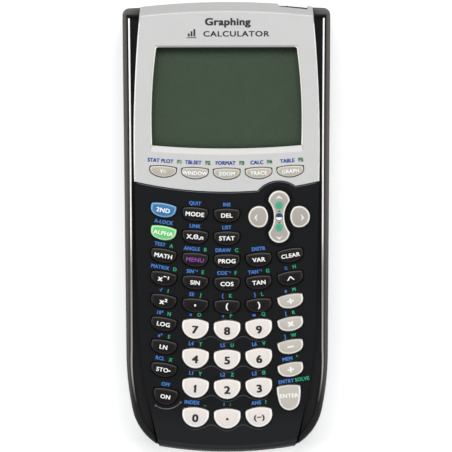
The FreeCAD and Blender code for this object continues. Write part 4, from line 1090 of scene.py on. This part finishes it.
for row in range(4):
    ribbon(f"deck_wave_{row + 1}", wave(row), 0.3, 0.07, level(DECK_TOP), RIDGE)
crescent = bowed((-30.3, -75.8), (-25.6, -77.2), (-19.6, -74.2), 40)
ribbon("on_crescent", crescent, 0.36, 0.1, level(DECK_TOP), PALE_RIDGE)
stud = disc(0.42, 16)
studs = [(*stud, (x, y, 0.0), 0.0, 0.0) for x, y in (crescent[0], crescent[-1])]
printed("on_studs", studs, PALE_RIDGE, "case", level(DECK_TOP))


# Where the shells meet and the hump in that line, in millimetres.
JOINT_Y, JOINT_HALF, JOINT_RISE = 14.9, 39.3, 4.5
JOINT_END = 0.8
HUMP_X, HUMP_Y, HUMP_RADIUS = 22.2, 7.85, 11.8
# The height at which the beads stand, in metres, and their own height in millimetres.
SHOULDER = 17.5 * MM
BEAD_HEIGHT = 1.17


def joint_line(inset, count=240):
    """The deck's upper edge: a shallow arc with the hump in it, moved inwards."""
    sweep = (JOINT_HALF ** 2 + JOINT_RISE ** 2) / (2 * JOINT_RISE)
    points = []
    for i in range(count + 1):
        x = (2 * i / count - 1) * (JOINT_HALF - JOINT_END)
        y = JOINT_Y + sweep - math.sqrt((sweep + inset) ** 2 - x * x)
        reach = HUMP_RADIUS - inset
        if abs(x - HUMP_X) < reach:
            y = max(y, HUMP_Y + math.sqrt(reach ** 2 - (x - HUMP_X) ** 2))
        points.append((x, y))
    return points


ribbon("joint_line", joint_line(0.45), 0.3, 0.07, level(DECK_TOP), JOINT_HIGHLIGHT, 0.02)
slope_edge = bowed((-36.9, 89.3), (0.0, 91.25), (36.9, 89.3), 120)
ribbon("slope_edge", slope_edge, 0.45, 0.1, surface_of(nodes["display_bezel"]), SLOPE_HIGHLIGHT, 0.02)
for name, side in SIDES.items():
    bead = [(side * x, y) for x, y in bowed((41.45, 88.8), (40.87, 18.0), (40.57, -52.0), 60)]
    bead += [(side * x, y) for x, y in bowed((40.57, -52.0), (40.2, -65.0), (38.6, -75.0), 30)]
    ribbon("bead_" + name, bead, 0.8, BEAD_HEIGHT, level(SHOULDER), BEAD_HIGHLIGHT, 0, square=0.35)


# The six faces of a box whose lower four points come first.
BOX_FACES = [(0, 1, 5, 4), (1, 2, 6, 5), (2, 3, 7, 6), (3, 0, 4, 7), (0, 3, 2, 1), (4, 5, 6, 7)]


def side_ribs(name, side):
    """Fine upright grip ribs on one side of the rear case, which stay inside its greatest width."""
    tree = BVHTree.FromObject(nodes["rear_case"], bpy.context.evaluated_depsgraph_get())
    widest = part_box("rear_case")[1].x
    vertices, faces = [], []
    for index in range(FIRST_RIB, LAST_RIB + 1):
        y = (index + RIB_PHASE) * RIB_PITCH
        wall = abs(tree.ray_cast(Vector((side * 2 * widest, y, RIB_LOW)), Vector((-side, 0, 0)))[0].x)
        crest = min(wall + RIB_HEIGHT, widest)
        start = len(vertices)
        for z in (RIB_LOW, RIB_TOP):
            for x, shift in ((wall - RIB_HEIGHT, -RIB_FOOT), (crest, -RIB_CREST),
                             (crest, RIB_CREST), (wall - RIB_HEIGHT, RIB_FOOT)):
                vertices.append((side * x, y + shift * RIB_PITCH, z))
        for face in BOX_FACES:
            faces.append(tuple(start + i for i in face[::side]))
    return piece(name, vertices, faces, nodes["rear_case"].data.materials[0], "case")


for name, side in SIDES.items():
    side_ribs("side_ribs_" + name, side)


# ---------------------------------------------------------------- floor, lights and camera

def flat_mesh(name, half):
    mesh = bpy.data.meshes.new(name)
    mesh.from_pydata([(-half, -half, 0), (half, -half, 0), (half, half, 0), (-half, half, 0)], [],
                     [(0, 1, 2, 3)])
    return placed(name, mesh)


FLOOR_HALF, FLOOR_DROP = 4.0, 0.0002
floor = flat_mesh("floor", FLOOR_HALF)
floor.location.z = -FLOOR_DROP
floor_paint, floor_tree, floor_shader = new_material("floor_paint")
set_inputs(floor_shader, {"Base Color": (0.9, 0.9, 0.9, 1), "Roughness": 0.8,
                          "Emission Color": (1, 1, 1, 1), "Emission Strength": 0.3})
give(floor, floor_paint)


def softbox(name, place, size, power):
    """A soft rectangular light that faces the middle of the object."""
    light = bpy.data.lights.new(name, "AREA")
    light.shape = "RECTANGLE"
    light.size, light.size_y = size
    light.energy = power
    lamp = placed(name, light)
    lamp.location = place
    lamp.rotation_mode = "QUATERNION"
    lamp.rotation_quaternion = (-Vector(place)).to_track_quat("-Z", "Y")


softbox("light_top", (0.0, 1.1, 0.95), (1.4, 0.5), 14)
softbox("light_left", (-1.1, 0.0, 0.8), (0.5, 1.4), 9)
softbox("light_right", (1.1, 0.0, 0.8), (0.5, 1.4), 9)
softbox("light_low", (0.0, -1.2, 0.9), (1.4, 0.4), 5)

world = bpy.data.worlds.new("studio")
bpy.context.scene.world = world
world.use_nodes = True
set_inputs(world.node_tree.nodes["Background"], {"Color": (0.9, 0.95, 1.0, 1), "Strength": 0.2})
bpy.context.scene.view_settings.view_transform = "Standard"

CAMERA_HEIGHT = 1.5
FACE_HEIGHT = 0.021
FRAME_WIDTH = 0.19187
CAMERA_SHIFT, CAMERA_TURN = (-0.00036, 0.00042), math.radians(-0.13)
camera_data = bpy.data.cameras.new("camera")
camera_data.sensor_width = 36
camera_data.lens = (CAMERA_HEIGHT - FACE_HEIGHT) * camera_data.sensor_width / FRAME_WIDTH
camera_data.clip_start = 0.1
camera_data.clip_end = 10
camera = placed("camera", camera_data)
camera.location = (*CAMERA_SHIFT, CAMERA_HEIGHT)
camera.rotation_euler = (0, 0, CAMERA_TURN)
bpy.context.scene.camera = camera
